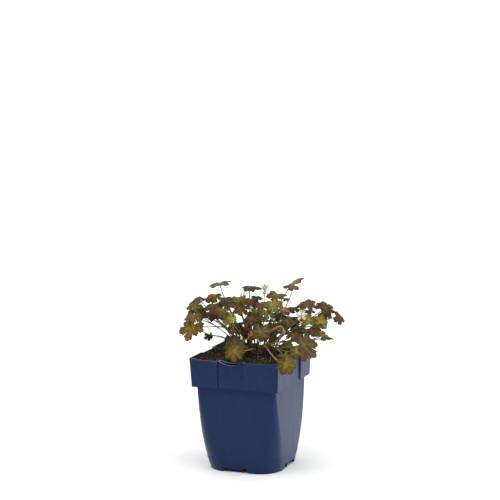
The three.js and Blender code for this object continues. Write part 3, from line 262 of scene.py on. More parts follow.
# ---------- the plan of the plant
def seeded(seed):
    """A small seeded generator of numbers from 0 to 1 (mulberry32), in 32-bit whole numbers."""
    mask = 0xFFFFFFFF
    state = seed & mask

    def draw():
        nonlocal state
        state = (state + 0x6D2B79F5) & mask
        mixed = ((state ^ (state >> 15)) * (1 | state)) & mask
        mixed = ((mixed + (((mixed ^ (mixed >> 7)) * (61 | mixed)) & mask)) & mask) ^ mixed
        return ((mixed ^ (mixed >> 14)) & mask) / 4294967296

    return draw


def direction_to_pot(across, away, up):
    """A direction of the plant's frame, turned PLANT_TURN degrees about Z into the pot's."""
    c = math.cos(PLANT_TURN * DEG)
    s = math.sin(PLANT_TURN * DEG)
    return np.array([across * c - away * s, across * s + away * c, up])


def to_pot(place):
    """A place of the plant's frame, with up measured from the rim, in the pot's frame."""
    across, away, up = place
    return direction_to_pot(across + PLANT_ASIDE, away, POT.height + up)


def unit(vector):
    """The vector divided by its length."""
    return vector / np.linalg.norm(vector)


def unit_rows(vectors):
    """Each row divided by its length."""
    return vectors / np.linalg.norm(vectors, axis=1)[:, None]


def soil_height(x, y):
    """Two crossed waves, a low crown in the middle and a slight rise to the side walls."""
    waves = np.sin(x * 0.21 + 1.1) * np.cos(y * 0.17) + 0.6 * np.sin(x * 0.09 - y * 0.31)
    crown = 1.1 * np.maximum(0, 1 - (x * x + y * y) / 1800)
    sides = SOIL.side_rise * (x / POT.rim_half) ** 4
    return SOIL.level + SOIL.relief * waves * 0.6 + crown + sides


def lobe_plan(leaf):
    """The step between lobes, each lobe's angle and length, and the phases of two waves. The
    lobes shorten with a power of their angle, and each is a little off its angle and length."""
    step = LOBE_STEPS[leaf.lobes]
    draw = seeded(leaf.seed)
    plan = []
    for k in range(leaf.lobes):
        angle = (k - (leaf.lobes - 1) / 2) * step
        shorter = 0.26 * (abs(angle) / 140) ** 1.6
        own = leaf.lengths[k] if leaf.lengths else 1 - shorter + 0.14 * (draw() - 0.5)
        plan.append((angle + 8 * (draw() - 0.5), leaf.radius * own))
    return Record(step=step, lobes=plan, phase=draw() * 360, phase3=draw() * 360)


def teeth_for(radius):
    """Two blunt teeth on small lobes, three on larger ones, with dents on the largest."""
    if radius < PLAIN_BELOW:
        return PLAIN_TEETH
    return TEETH if radius < FINE_FROM else FINE_TEETH


# What a leaf's or head's row need not say.
PLAIN_LEAF = {"cup": 0.2, "vee": 0, "lengths": None, "stem": PETIOLE_RADIUS, "via": None,
              "parent": None, "head": None}


def describe(row, number):
    """A leaf's row as a record, with its own seed and lobes."""
    name, across, away, up, radius, lobes, bearing, lift, turn, tone, *special = row
    leaf = Record(**{**PLAIN_LEAF, **(special[0] if special else {})}, name=name,
                  place=np.array([across, away, up], float), radius=radius, lobes=lobes,
                  bearing=bearing, lift=lift, turn=turn, tone=tone, teeth=teeth_for(radius),
                  red=RED_LOBES.get(name, {}), seed=SEED + number * 101)
    leaf.plan = lobe_plan(leaf)
    return leaf


def describe_head(row, number):
    """A head's row as a record of the same kind, with a stalk in place of a petiole."""
    name, kind, across, away, up, bearing, lift, shape = row
    special = {"stem": STALK_RADIUS, "head": Record(kind=kind, **shape)}
    return Record(**{**PLAIN_LEAF, **special}, name=name, place=np.array([across, away, up], float),
                  bearing=bearing, lift=lift, turn=0, seed=SEED + 7 * number)


def turned(vector, axis, angle):
    """The vector turned about a unit axis by an angle (Rodrigues' formula)."""
    c = math.cos(angle)
    s = math.sin(angle)
    return vector * c + np.cross(axis, vector) * s + axis * (axis @ vector) * (1 - c)


def blade_frame(leaf, hub):
    """A blade's axes as columns and its hub: x along the middle lobe, z out of its face."""
    bearing = leaf.bearing * DEG
    lift = leaf.lift * DEG
    level = math.cos(lift)
    normal = direction_to_pot(math.sin(bearing) * level, -math.cos(bearing) * level, math.sin(lift))
    downhill = direction_to_pot(
        math.sin(bearing) * math.sin(lift), -math.cos(bearing) * math.sin(lift), -level)
    tip = turned(downhill, normal, leaf.turn * DEG)
    return np.column_stack([tip, np.cross(normal, tip), normal]), hub


def placed(leaf, points):
    """Points of a blade's or head's own frame, in the pot's frame."""
    axes, hub = leaf.frame
    return points @ axes.T + hub


def on_disc(degrees, distance):
    """Places along and across the middle lobe, from angles and distances round the hub."""
    return distance * np.cos(degrees * DEG), distance * np.sin(degrees * DEG)


def blade_height(leaf, degrees, distance):
    """The blade's height over its hub: it arches down with the square of the distance, may
    fold up along its midrib, and waves two and three times on the way round."""
    share = distance / leaf.radius
    plan = leaf.plan
    wave = (0.09 * np.sin((2 * degrees + plan.phase) * DEG)
            + 0.05 * np.sin((3 * degrees + plan.phase3) * DEG))
    side = np.abs(np.sin(degrees * DEG)) * distance
    return leaf.vee * side + leaf.radius * share * share * (wave - leaf.cup)


def blade_points(leaf, degrees, distance, offset=0.0):
    """Points of the blade at angles and distances from the hub, `offset` above its middle."""
    degrees = np.asarray(degrees, float)
    distance = np.asarray(distance, float)
    height = blade_height(leaf, degrees, distance) + offset
    return placed(leaf, np.stack([*on_disc(degrees, distance), height], -1))


def valley(leaf, k):
    """The distance of the edge's valley before lobe k."""
    return leaf.radius * (OUTER_VALLEY if k == 0 else VALLEY)


def blade_outline(leaf):
    """The CAD outline's corners as rows of angle and distance."""
    plan = leaf.plan
    radius = leaf.radius
    corners = [(-180, radius * STALK_NOTCH)]
    for k, (angle, length) in enumerate(plan.lobes):
        corners.append((angle - plan.step / 2, valley(leaf, k)))
        corners += [(angle + turn * plan.step, length * share) for turn, share in leaf.teeth]
    corners.append((plan.lobes[-1][0] + plan.step / 2, radius * OUTER_VALLEY))
    return np.array(corners)


def blade_balls(leaf):
    """Ball centres over a blade, on rings BALL_STEP apart and at the outer corners."""
    outline = blade_outline(leaf)
    radius = leaf.radius
    angles = np.append(outline[:, 0], 180)
    reach = np.append(outline[:, 1], outline[0, 1])
    degrees = []
    distances = []
    distance = 0.0
    while distance < radius * 1.1:
        count = max(1, math.ceil(2 * math.pi * distance / BALL_STEP))
        round_hub = -180 + 360 * np.arange(count) / count
        inside = distance <= np.interp(round_hub, angles, reach)
        degrees.append(round_hub[inside])
        distances.append(np.full(inside.sum(), distance))
        distance += BALL_STEP
    outer = outline[outline[:, 1] >= radius * 0.6]
    return blade_points(leaf, np.concatenate(degrees + [outer[:, 0]]),
                        np.concatenate(distances + [outer[:, 1]]))


def head_rays(head):
    """Where a head's petals or beaks stand: angles round its axis and angles off it."""
    count = PETALS if head.kind == "bloom" else head.beaks
    k = np.arange(count)
    around = (k + 0.5) / count * 2 * math.pi
    off = np.full(count, head.open) if head.kind == "bloom" else 10 + 9 * (k % 3)
    return around, off * DEG


def ray_directions(around, off):
    """Unit vectors at an angle `off` the axis, turned `around` it."""
    return np.stack([np.sin(off) * np.cos(around), np.sin(off) * np.sin(around), np.cos(off)], -1)


def head_balls(leaf):
    """Ball centres along every petal or beak."""
    head = leaf.head
    along = np.arange(0, head.length + 2.5, BALL_STEP / 2)
    rays = ray_directions(*head_rays(head))
    return placed(leaf, (rays[:, None, :] * along[None, :, None]).reshape(-1, 3))


def stem_balls(points):
    """Ball centres along a stem, at most STEM_BALL_STEP apart."""
    centres = []
    for start, end in zip(points[:-1], points[1:]):
        steps = max(1, math.ceil(np.linalg.norm(end - start) / STEM_BALL_STEP))
        share = np.arange(steps)[:, None] / steps
        centres.append(start + (end - start) * share)
    return np.concatenate(centres)


def clear_of_pot(points, radius):
    """Per ball, true if it is above the compost, above the rim, or beyond the pot."""
    reach = np.abs(points[:, :2]).max(1)
    inside_mouth = reach < POT.rim_half - MOUTH_INSET - radius
    ground = np.where(inside_mouth, SOIL.level + GROUND.rise, POT.height)
    above = points[:, 2] > ground + radius + GAP - GROUND.play
    return (reach > POT.rim_half + radius + GAP) | above


def bezier(p0, p1, p2, p3, shares):
    """A cubic Bezier curve's points at shares from 0 to 1."""
    t = np.asarray(shares)[:, None]
    k = 1 - t
    return k ** 3 * p0 + 3 * k * k * t * p1 + 3 * k * t * t * p2 + t ** 3 * p3


def petiole_controls(foot, heading, leaf, seat, bow, lift):
    """A petiole's four Bezier points: it leaves along `heading`, may bow sideways and rise,
    and comes in from below the blade and, unless it carries a head, from behind."""
    reach = seat - foot
    length = np.linalg.norm(reach)
    sideways = unit(np.array([-reach[1], reach[0], 0.0]))
    axes = leaf.frame[0]
    pull, lean = (1.6, 0) if leaf.head else (0.7, 0.3)
    arrival = unit(unit(reach) + axes[:, 2] * pull + axes[:, 0] * lean)
    p1 = foot + heading * length * 0.3 + sideways * bow
    p2 = seat - arrival * length * 0.28 + sideways * bow
    p2[2] += lift
    return foot, p1, p2, seat


def bent_petioles(foot, heading, leaf, seat):
    """Petioles from a foot to a seat, the plainest first: each a function of shares from 0 to
    1, and its number of coarse steps."""
    steps = 4 if np.linalg.norm(seat - foot) > LONG_PETIOLE else 3
    for lift in LIFTS:
        for bow in BOWS:
            controls = petiole_controls(foot, heading, leaf, seat, bow, lift)
            yield (lambda shares, controls=controls: bezier(*controls, shares)), steps


def smooth_route(points, shares):
    """A centripetal Catmull-Rom curve through the points, at shares from 0 to 1."""
    chain = np.vstack([2 * points[0] - points[1], points, 2 * points[-1] - points[-2]])
    last = len(points) - 2
    at = np.asarray(shares) * (last + 1)
    index = np.minimum(np.floor(at).astype(int), last)
    t = (at - index)[:, None]
    x0, x1, x2, x3 = (chain[index + k] for k in range(4))
    d0, d1, d2 = (np.sum((after - before) ** 2, 1)[:, None] ** 0.25
                  for before, after in ((x0, x1), (x1, x2), (x2, x3)))
    slope1 = ((x1 - x0) / d0 - (x2 - x0) / (d0 + d1) + (x2 - x1) / d1) * d1
    slope2 = ((x2 - x1) / d1 - (x3 - x1) / (d1 + d2) + (x3 - x2) / d2) * d1
    c2 = -3 * x1 + 3 * x2 - 2 * slope1 - slope2
    c3 = 2 * x1 - 2 * x2 + slope1 + slope2
    return x1 + slope1 * t + c2 * t * t + c3 * t ** 3


class Planting:
    """Places every leaf and head, keeping each clear of what already stands."""

    def __init__(self):
        self.slots = self.crown_slots()
        self.shoots = {}
        self.points = np.zeros((0, 3))
        self.radii = np.zeros(0)
        self.owners = np.zeros(0, int)
        self.numbers = {}

    @staticmethod
    def crown_slots():
        """Places for stems on a sunflower spiral, so that they keep an even distance."""
        slots = []
        for k in range(CROWN.slots):
            distance = math.sqrt((k + 0.5) / CROWN.slots)
            angle = k * 137.508 * DEG
            across = CROWN.across + CROWN.reach_across * distance * math.cos(angle)
            away = CROWN.away + CROWN.reach_away * distance * math.sin(angle)
            slots.append(Record(across=across, away=away, free=True))
        return slots

    def nearest_slots(self, leaf, count):
        """The free places nearest to where the leaf's stem would start."""
        across = CROWN.across + FOOT_PULL * (leaf.place[0] - CROWN.across)
        away = CROWN.away + FOOT_PULL * (leaf.place[1] - CROWN.away)
        free = [slot for slot in self.slots if slot.free]
        free.sort(key=lambda slot: math.hypot(slot.across - across, slot.away - away))
        return free[:count]

    def is_clear(self, points, radius, owner, joint=None):
        """True if no ball meets the pot or another node's ball; balls of the leaf's own node
        near `joint` don't count."""
        if not clear_of_pot(points, radius).all():
            return False
        margin = radius + BLADE_BALL + GAP
        low = points.min(0) - margin
        high = points.max(0) + margin
        near = ((self.points > low) & (self.points < high)).all(1)
        if not near.any():
            return True
        apart = np.linalg.norm(self.points[near][:, None] - points[None], axis=2)
        hit = apart < self.radii[near][:, None] + radius + GAP
        if joint is not None:
            own = self.owners[near] == owner
            joined = np.linalg.norm(points - joint, axis=1) < JOINT_REACH
            hit &= ~(own[:, None] & joined[None])
        return not hit.any()

    def petioles(self, leaf, seat):
        """Every petiole that could carry the leaf on its seat, best first. Each comes as its
        route and number of coarse steps, its slot, its foot and its joint."""
        if leaf.parent:
            curve = self.shoots[leaf.parent][0].curve
            for k in (2, 3, 1):
                if k + 1 < len(curve):
                    heading = unit(curve[k + 1] - curve[k])
                    for petiole in bent_petioles(curve[k], heading, leaf, seat):
                        yield petiole, None, None, curve[k]
            return
        for slot in self.nearest_slots(leaf, 1 if leaf.via else 4):
            foot = to_pot((slot.across, slot.away, 0))
            foot[2] = soil_height(foot[0], foot[1])
            top = foot + UPWARD
            if leaf.via:
                guides = np.vstack([top, [to_pot(place) for place in leaf.via], seat])
                steps = max(6, 2 * len(leaf.via))
                yield (lambda shares: smooth_route(guides, shares), steps), slot, foot, None
            else:
                for petiole in bent_petioles(top, UPWARD, leaf, seat):
                    yield petiole, slot, foot, None

    def place_leaf(self, leaf):
        """Slides a leaf back and forth until its blade is clear, and bends its petiole until
        that is clear too. A guided leaf stands where it is put."""
        owner = self.numbers.setdefault(leaf.parent or leaf.name, len(self.numbers))
        radius = leaf.stem + STEM_MARGIN
        for slide in [0] if leaf.via else SLIDES:
            leaf.frame = blade_frame(leaf, to_pot(leaf.place + DEPTH * slide))
            blade = head_balls(leaf) if leaf.head else blade_balls(leaf)
            if not leaf.via and not self.is_clear(blade, BLADE_BALL, owner):
                continue
            drop = HEAD_GAP if leaf.head else 0.55 * leaf.stem
            seat = placed(leaf, np.array([0, 0, -drop]))
            for (route, steps), slot, foot, joint in self.petioles(leaf, seat):
                curve = route(np.arange(steps + 1) / steps)
                balls = stem_balls(curve)
                tested = balls if joint is not None else balls[2:]
                if leaf.via or self.is_clear(tested, radius, owner, joint):
                    self.occupy(blade, BLADE_BALL, owner)
                    self.occupy(balls, radius, owner)
                    return Record(leaf=leaf, curve=curve, route=route, slot=slot, foot=foot)
        return None

    def occupy(self, points, radius, owner):
        """Adds balls to the space that is taken."""
        self.points = np.vstack([self.points, points])
        self.radii = np.append(self.radii, np.full(len(points), radius))
        self.owners = np.append(self.owners, np.full(len(points), owner))

    def plant(self, leaf):
        """Places one leaf or head; one that finds no clear place is left out."""
        if leaf.parent and leaf.parent not in self.shoots:
            return
        found = self.place_leaf(leaf)
        if not found:
            return
        if leaf.parent:
            self.shoots[leaf.parent].append(found)
            return
        found.slot.free = False
        self.shoots[leaf.name] = [found]


def back_shoot(number, draw):
    """A shoot on the far side as leaf rows: its leaf and its side leaves face outward."""
    span = BACK.high - BACK.low
    middle = BACK.low + span * (number + 0.2 + 0.6 * draw()) / BACK.shoots
    rows = []
    for k in range(BACK.side_leaves + 1):
        around = middle + (0 if k == 0 else BACK.side_turn * (draw() - 0.5))
        reach = BACK.reach[0] + BACK.reach[1] * draw()
        across = CROWN.across + 1.12 * reach * math.cos(around * DEG)
        away = CROWN.away + 6 + reach * math.sin(around * DEG)
        up = BACK.up - 0.14 * away - 0.1 * reach + 9 * (draw() - 0.6) - 6 * k
        least, more = BACK.side_radius if k else BACK.radius
        radius = least + more * draw()
        tone = BACK_TONES[math.floor(draw() * len(BACK_TONES))]
        name = f"back_{number + 1}" if k == 0 else f"back_{number + 1}_side_{k}"
        extra = {} if k == 0 else {"parent": f"back_{number + 1}"}
        lift = 58 + 26 * draw()
        turn = 60 * (draw() - 0.5)
        rows.append((name, across, away, up, radius, 5, around + 90, lift, turn, tone, extra))
    return rows


def plan_plant():
    """The whole plan, in the order of the CAD: guided leaves, heads, the rest, the back."""
    planting = Planting()
    leaves = [describe(row, number) for number, row in enumerate(LEAVES)]
    for leaf in leaves:
        if leaf.via:
            planting.plant(leaf)
    for number, row in enumerate(HEADS):
        planting.plant(describe_head(row, number))
    for leaf in leaves:
        if not leaf.via:
            planting.plant(leaf)
    draw = seeded(SEED)
    for number in range(BACK.shoots):
        for k, row in enumerate(back_shoot(number, draw)):
            planting.plant(describe(row, 200 + number * 5 + k))
    return planting.shoots


SHOOTS = plan_plant()


# ---------- meshes and pieces
def linear(code):
    """An sRGB hex colour as three linear values."""
    values = np.array([int(code[i:i + 2], 16) for i in (0, 2, 4)]) / 255
    return np.where(values <= 0.04045, values / 12.92, ((values + 0.055) / 1.055) ** 2.4)


def palette(codes):
    """Several sRGB hex colours as rows of linear values."""
    return np.array([linear(code) for code in codes])


def blend(a, b, share):
    """The mix of two colours, or of two arrays of them, by a share per point."""
    share = np.clip(np.asarray(share, float), 0, 1)[..., None]
    return np.asarray(a) * (1 - share) + np.asarray(b) * share


def smooth(low, high, value):
    """0 below `low`, 1 above `high`, and an S-shaped rise between them."""
    t = np.clip((np.asarray(value, float) - low) / (high - low), 0, 1)
    return t * t * (3 - 2 * t)


def grid_faces(rows, columns, closed, first=0):
    """Quads between the rows of a grid of points; `closed` joins the last column to the first."""
    number = first + np.arange(rows * columns).reshape(rows, columns)
    if closed:
        number = np.hstack([number, number[:, :1]])
    corners = [number[:-1, :-1], number[:-1, 1:], number[1:, 1:], number[1:, :-1]]
    return np.stack(corners, -1).reshape(-1, 4)


def grid_border(rows, columns):
    """The numbers of the points on a grid's border, in order all round it."""
    number = np.arange(rows * columns).reshape(rows, columns)
    return np.concatenate([number[0, :-1], number[:-1, -1], number[-1, :0:-1], number[:0:-1, 0]])


def fan(ring, middle, flipped=False):
    """Triangles between a closed ring of point numbers and one middle point."""
    pair = [ring, np.roll(ring, -1)][::-1 if flipped else 1]
    return np.stack([*pair, np.full(len(ring), middle)], -1)


def circle(sides):
    """Even angles once round, in radians."""
    return np.arange(sides) / sides * 2 * math.pi


class Skin:
    """Gathers the surfaces of one piece, with a colour per point and a material per face."""

    def __init__(self):
        self.points = []
        self.colors = []
        self.faces = []
        self.numbers = []
        self.count = 0

    def add(self, points, colors, faces, material=0):
        """Adds points, their colours and arrays of quads or triangles that number them."""
        self.points.append(points)
        self.colors.append(np.broadcast_to(colors, points.shape))
        for block in faces:
            self.faces += (np.asarray(block) + self.count).tolist()
            self.numbers += [material] * len(block)
        self.count += len(points)

    def piece(self, name, materials, slot, *nodes):
        """Makes the mesh object, lets it ride on the body and stand for its CAD nodes."""
        mesh = bpy.data.meshes.new(name)
        mesh.from_pydata((np.concatenate(self.points) * MM).tolist(), [], self.faces)
        mesh.polygons.foreach_set("material_index", self.numbers)
        mesh.polygons.foreach_set("use_smooth", [True] * len(self.faces))
        colors = np.concatenate(self.colors)
        layer = mesh.color_attributes.new("tissue", "FLOAT_COLOR", "POINT")
        layer.data.foreach_set("color", np.column_stack([colors, np.ones(len(colors))]).ravel())
        for material in materials:
            mesh.materials.append(material)
        if mesh.validate():
            raise RuntimeError(f"{name} has faces that are not valid")
        dressed(new_object(name, mesh), slot, *nodes)


def new_object(name, data):
    """An object with that data, in the scene."""
    made = bpy.data.objects.new(name, data)
    bpy.context.scene.collection.objects.link(made)
    return made


def dressed(piece, slot, *nodes):
    """Lets a piece ride and lets it stand for its CAD nodes; its slot is not used."""
    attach(piece, "root")
    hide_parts(*nodes)


def round_tube(path, radii, sides):
    """A closed round tube: a ring of points about each point of the path, square to its
    direction, and a point that closes each end. Returns points, faces and shares along it."""
    tangent = unit_rows(np.gradient(path, axis=0))
    fixed = np.eye(3)[np.argmin(np.abs(tangent).max(0))]
    side = unit_rows(np.cross(tangent, fixed))[:, None]
    other = np.cross(tangent, side[:, 0])[:, None]
    angle = circle(sides)[None, :, None]
    ring = side * np.cos(angle) + other * np.sin(angle)
    points = (path[:, None] + ring * np.asarray(radii)[:, None, None]).reshape(-1, 3)
    rows = len(path)
    total = rows * sides
    first = np.arange(sides)
    faces = [grid_faces(rows, sides, True), fan(first, total, flipped=True),
             fan(first + total - sides, total + 1)]
    share = np.append(np.repeat(np.linspace(0, 1, rows), sides), [0, 1])
    return np.vstack([points, path[:1], path[-1:]]), faces, share


def sheet_between(upper, lower):
    """A closed sheet between two grids of points, with its border sewn all round."""
    rows, columns = upper.shape[:2]
    below = rows * columns
    top = grid_faces(rows, columns, False)
    border = grid_border(rows, columns)
    after = np.roll(border, -1)
    sides = np.stack([border, after, after + below, border + below], -1)
    return np.vstack([upper.reshape(-1, 3), lower.reshape(-1, 3)]), [top[:, ::-1], top + below, sides]


# ---------- materials
# Tissues: how wide their grain is in mm, how far it varies their lightness, their roughness,
# how strong their relief is, and their sheen.
TISSUES = {
    "downy_leaf_tissue": (1.9, 0.42, 0.46, 0.45, 0.02),  # thin blades with a soft gloss
    "juicy_stem_skin": (3.0, 0.12, 0.42, 0.2, 0.1),      # smooth petioles that shine a little
    "silky_petal": (1.6, 0.05, 0.55, 0.15, 0.25),        # thin white petals with a sheen
}
CELL_MM = 0.45  # a patch of cells, drawn coarser than they are so that it shows
PEAT_CRUMB_MM = 1.4
PEAT_GRIT_MM = 0.8
FLOW_MARK_MM = 9  # faint streaks that the melt leaves as it fills the mould
SINK_MARK_MM = 16  # shallow waves where the plastic has shrunk
MOULD_GRAIN_MM = 0.5
DUST_SPECK_MM = 5
DUST_FROM = 0.06  # metres up, where dust starts to show
DUST_COLOR = "6d6a66"
# Pale lavender for the painted highlight on the rim's faces that look up.
HIGHLIGHT_COLOR = "8d8fb0"
# Painted shade on the rim's faces that look in; the top of its left side is darkened to it too.
DARKENING_COLOR = "241a12"


def add_node(tree, kind, inputs=None, **settings):
    """Adds a shader node, sets its properties, and fills or links its sockets. A node among
    the inputs stands for its first output."""
    made = tree.nodes.new("ShaderNode" + kind)
    for key, value in settings.items():
        setattr(made, key, value)
    for key, value in (inputs or {}).items():
        if isinstance(value, bpy.types.Node):
            value = value.outputs[0]
        if isinstance(value, bpy.types.NodeSocket):
            tree.links.new(value, made.inputs[key])
        else:
            made.inputs[key].default_value = value
    return made


def new_material(name):
    """An empty node material, and add_node for its tree."""
    material = bpy.data.materials.new(name)
    material.use_nodes = True
    material.node_tree.nodes.clear()
    return material, partial(add_node, material.node_tree)


def per_metre(millimetres):
    """The scale of a pattern on Object coordinates whose features are this many mm wide."""
    return 1 / (millimetres * MM)


def tissue_material(name):
    """Living tissue of that name, made when it is first asked for: the piece's own colours,
    mottled by noise and roughened by its cells."""
    if name in bpy.data.materials:
        return bpy.data.materials[name]
    grain, spread, roughness, bump, sheen = TISSUES[name]
    material, node = new_material(name)
    place = node("TexCoord").outputs["Object"]
    patches = node("TexNoise", {
        "Vector": place, "Scale": per_metre(grain), "Detail": 3.0, "Roughness": 0.6})
    value = node("MapRange", {
        "Value": patches, "From Min": 0.25, "From Max": 0.75,
        "To Min": 1 - spread, "To Max": 1 + spread})
    own = node("Attribute", attribute_name="tissue")
    color = node("HueSaturation", {"Color": own, "Value": value})
    cells = node("TexNoise", {"Vector": place, "Scale": per_metre(CELL_MM), "Detail": 2.0})
    puckers = node("Bump", {"Height": patches, "Strength": bump, "Distance": 0.35 * grain * MM})
    relief = node("Bump", {
        "Height": cells, "Strength": bump, "Distance": 0.25 * MM, "Normal": puckers})
    gloss = node("MapRange", {
        "Value": patches, "To Min": roughness - 0.08, "To Max": roughness + 0.1})
    shader = node("BsdfPrincipled", {
        "Base Color": color, "Roughness": gloss, "Normal": relief, "Sheen Weight": sheen,
        "Specular IOR Level": 0.1})
    node("OutputMaterial", {"Surface": shader})
    return material


def pot_material(settings):
    """Injection-moulded polypropylene: a smooth satin blue with faint flow marks and sink
    marks, a fine moulded grain and a little dust towards the rim. Where the pot's own
    attributes put them, a painted highlight lightens the rim's faces that look up, painted
    shade darkens those that look in, and the top of its left side is darkened to the
    compost's colour."""
    material, node = new_material("satin_moulded_polypropylene")
    place = node("TexCoord").outputs["Object"]
    flow = node("Mapping", {"Vector": place, "Scale": (1.0, 1.0, 0.16)})
    marks = node("TexNoise", {
        "Vector": flow, "Scale": per_metre(FLOW_MARK_MM), "Detail": 2.0, "Roughness": 0.45})
    tint = node("MapRange", {
        "Value": marks, "From Min": 0.3, "From Max": 0.7, "To Min": 0.92, "To Max": 1.08})
    color = node("HueSaturation", {"Color": (*settings.pot_color, 1), "Value": tint}).outputs[0]
    dust = node("TexNoise", {
        "Vector": place, "Scale": per_metre(DUST_SPECK_MM), "Detail": 5.0, "Roughness": 0.7})
    specks = node("MapRange", {"Value": dust, "From Min": 0.52, "From Max": 0.78})
    upward = node("MapRange", {
        "Value": node("SeparateXYZ", {"Vector": place}).outputs["Z"], "From Min": DUST_FROM,
        "From Max": POT.height * MM, "To Min": 0.0, "To Max": settings.dust})
    dusty = node("Math", {0: upward, 1: specks}, operation="MULTIPLY")
    # Painted highlight and painted shade, from the pot's own attributes.
    highlight_share = node("Attribute", attribute_name="wear").outputs["Fac"]
    soiled = node("Attribute", attribute_name="soiled").outputs["Fac"]
    for share, code in ((dusty, DUST_COLOR), (highlight_share, HIGHLIGHT_COLOR), (soiled, DARKENING_COLOR)):
        mix = node("Mix", {0: share, 6: color, 7: (*linear(code), 1)}, data_type="RGBA")
        color = mix.outputs[2]
    waves = node("TexNoise", {"Vector": flow, "Scale": per_metre(SINK_MARK_MM), "Detail": 1.0})
    sunk = node("Bump", {"Height": waves, "Strength": 0.5, "Distance": 0.8 * MM})
    grain = node("TexNoise", {"Vector": place, "Scale": per_metre(MOULD_GRAIN_MM), "Detail": 2.0})
    relief = node("Bump", {
        "Height": grain, "Strength": 0.12, "Distance": 0.05 * MM, "Normal": sunk})
    gloss = node("MapRange", {
        "Value": marks, "To Min": settings.roughness - 0.05, "To Max": settings.roughness + 0.07})
    shader = node("BsdfPrincipled", {
        "Base Color": color, "Roughness": gloss, "Normal": relief, "Specular IOR Level": 0.16,
        "Sheen Weight": 0.1, "Sheen Roughness": 0.5, "IOR": 1.49})
    node("OutputMaterial", {"Surface": shader})
    return material


def compost_material():
    """Moist peat: nearly black brown crumbs with painted shade, lighter in each crumb's middle and
    darker in the gaps between them, rough all over.
    """
    material, node = new_material("moist_peat_crumbs")
    place = node("TexCoord").outputs["Object"]
    crumbs = node("TexVoronoi", {"Vector": place, "Scale": per_metre(PEAT_CRUMB_MM)})
    # Painted shade: each crumb is lighter at its middle and darker towards the gaps between crumbs.
    value = node("MapRange", {"Value": crumbs, "From Max": 0.8, "To Min": 1.5, "To Max": 0.45})
    own = node("Attribute", attribute_name="tissue")
    color = node("HueSaturation", {"Color": own, "Value": value})
    grit = node("TexNoise", {
        "Vector": place, "Scale": per_metre(PEAT_GRIT_MM), "Detail": 5.0, "Roughness": 0.7})
    relief = node("Bump", {"Height": grit, "Strength": 0.7, "Distance": 0.6 * MM})
    shader = node("BsdfPrincipled", {
        "Base Color": color, "Roughness": 0.92, "Normal": relief, "Specular IOR Level": 0.2})
    node("OutputMaterial", {"Surface": shader})
    return material


def floor_material(color):
    """Matt white paint: no reflection, so that only soft shadow marks the floor."""
    material, node = new_material("matt_white_floor")
    shader = node("BsdfPrincipled", {
        "Base Color": (*color, 1), "Roughness": 0.9, "Specular IOR Level": 0.1})
    node("OutputMaterial", {"Surface": shader})
    return material


# ---------- leaves
RING_SHARES = np.array([0.1, 0.22, 0.35, 0.48, 0.61, 0.73, 0.84, 0.93, 1.0])
EDGE_STEPS = 3  # points between two corners of a blade's edge
BLADE_THICK = 0.42  # in the middle of a blade
EDGE_THICK = 0.16
BACK_FULLNESS = 0.955  # draws the far side's lobes in, so that they stay in the CAD's box
# Between a lobe's middle and its side tooth: a dent at a share of the way, and how much less
# far out than the tooth it is; and a shoulder at a share of the way and of the lobe's length.
DENT = (0.62, 0.02)
SHOULDER = (0.3, 0.965)
# A lobe's veins: how far each leans to a side tooth, where it leaves the main vein, and how
# strong it is.
VEINS = [(0, 0.0, 1.0), (-1, 0.42, 0.7), (1, 0.42, 0.7), (-0.5, 0.66, 0.7), (0.5, 0.66, 0.7)]
VEIN_END = 0.87
VEIN_WIDTH = 0.32
GROOVE_WIDTH = 0.7
BLOTCH_MM = 7
PUCKER_MM = 6.5
RED_TISSUE = "7c3a22"
UNDERSIDE = "66603c"
# Colours of a petiole's foot and top: of single shoots, and of the others in turn.
STEM_COLORS = {
    "drooping": ("6f6434", "8e8044"), "over_rim": ("7c7038", "8a8046"),
    "withered": ("75633a", "a89460"), "low_right": ("787038", "8a8248"),
}
STEM_TONES = [("573b28", "746c38"), ("625128", "827a40"), ("473422", "625a30"), ("653f2a", "7a6c3c")]
STEM_SAMPLES = 18
STEM_SIDES = 8
STEM_SLOT = 1  # the material of stems and hairs, after that of blades
PETIOLE_HAIRS = (60, "a39c78")
STALK_HAIRS = (120, "b9b48c")


def lobe_corners(leaf, draw):
    """The finished edge's corners: every lobe gets a broad blunt tip and two side teeth at
    the CAD teeth's places, and dents between them. Rows of angle, distance and how round
    the edge runs from there."""
    plan = leaf.plan
    radius = leaf.radius
    step = plan.step
    outer = max(abs(turn) for turn, _ in leaf.teeth)
    side = leaf.teeth[0][1]
    fullness = BACK_FULLNESS if leaf.name.startswith("back") else 1.0
    half_tip = [(outer, side), (DENT[0] * outer, side - DENT[1]), (SHOULDER[0] * outer, SHOULDER[1])]
    tip = [(-turn, share) for turn, share in half_tip] + [(0, 1.0)] + half_tip[::-1]
    corners = [(-180, radius * STALK_NOTCH, 0.3)]
    for k, (angle, length) in enumerate(plan.lobes):
        corners.append((angle - step / 2, valley(leaf, k), 0.8))
        for turn, share in tip:
            own = fullness + 0.03 * (draw() - 0.5)
            at = angle + (turn + 0.03 * (draw() - 0.5)) * step
            corners.append((at, length * share * own, 0.9))
    corners.append((plan.lobes[-1][0] + step / 2, radius * OUTER_VALLEY, 0.3))
    corners.append((180, radius * STALK_NOTCH, 0.3))
    return np.array(corners)


def blade_edge(leaf, draw):
    """The edge as angles and distances: between two corners the distance rises as the sine
    of the way from the valley, so that teeth end round and dents end sharp."""
    corners = lobe_corners(leaf, draw)
    t = np.arange(EDGE_STEPS) / EDGE_STEPS
    start, end = corners[:-1], corners[1:]
    rising = (end[:, 1] > start[:, 1])[:, None]
    swell = np.where(rising, np.sin(t * math.pi / 2), 1 - np.cos(t * math.pi / 2))
    soft = np.maximum(start[:, 2], end[:, 2])[:, None]
    share = t * (1 - soft) + swell * soft
    degrees = start[:, :1] + (end[:, :1] - start[:, :1]) * t
    distance = start[:, 1:2] + (end[:, 1:2] - start[:, 1:2]) * share
    return degrees.ravel(), distance.ravel()


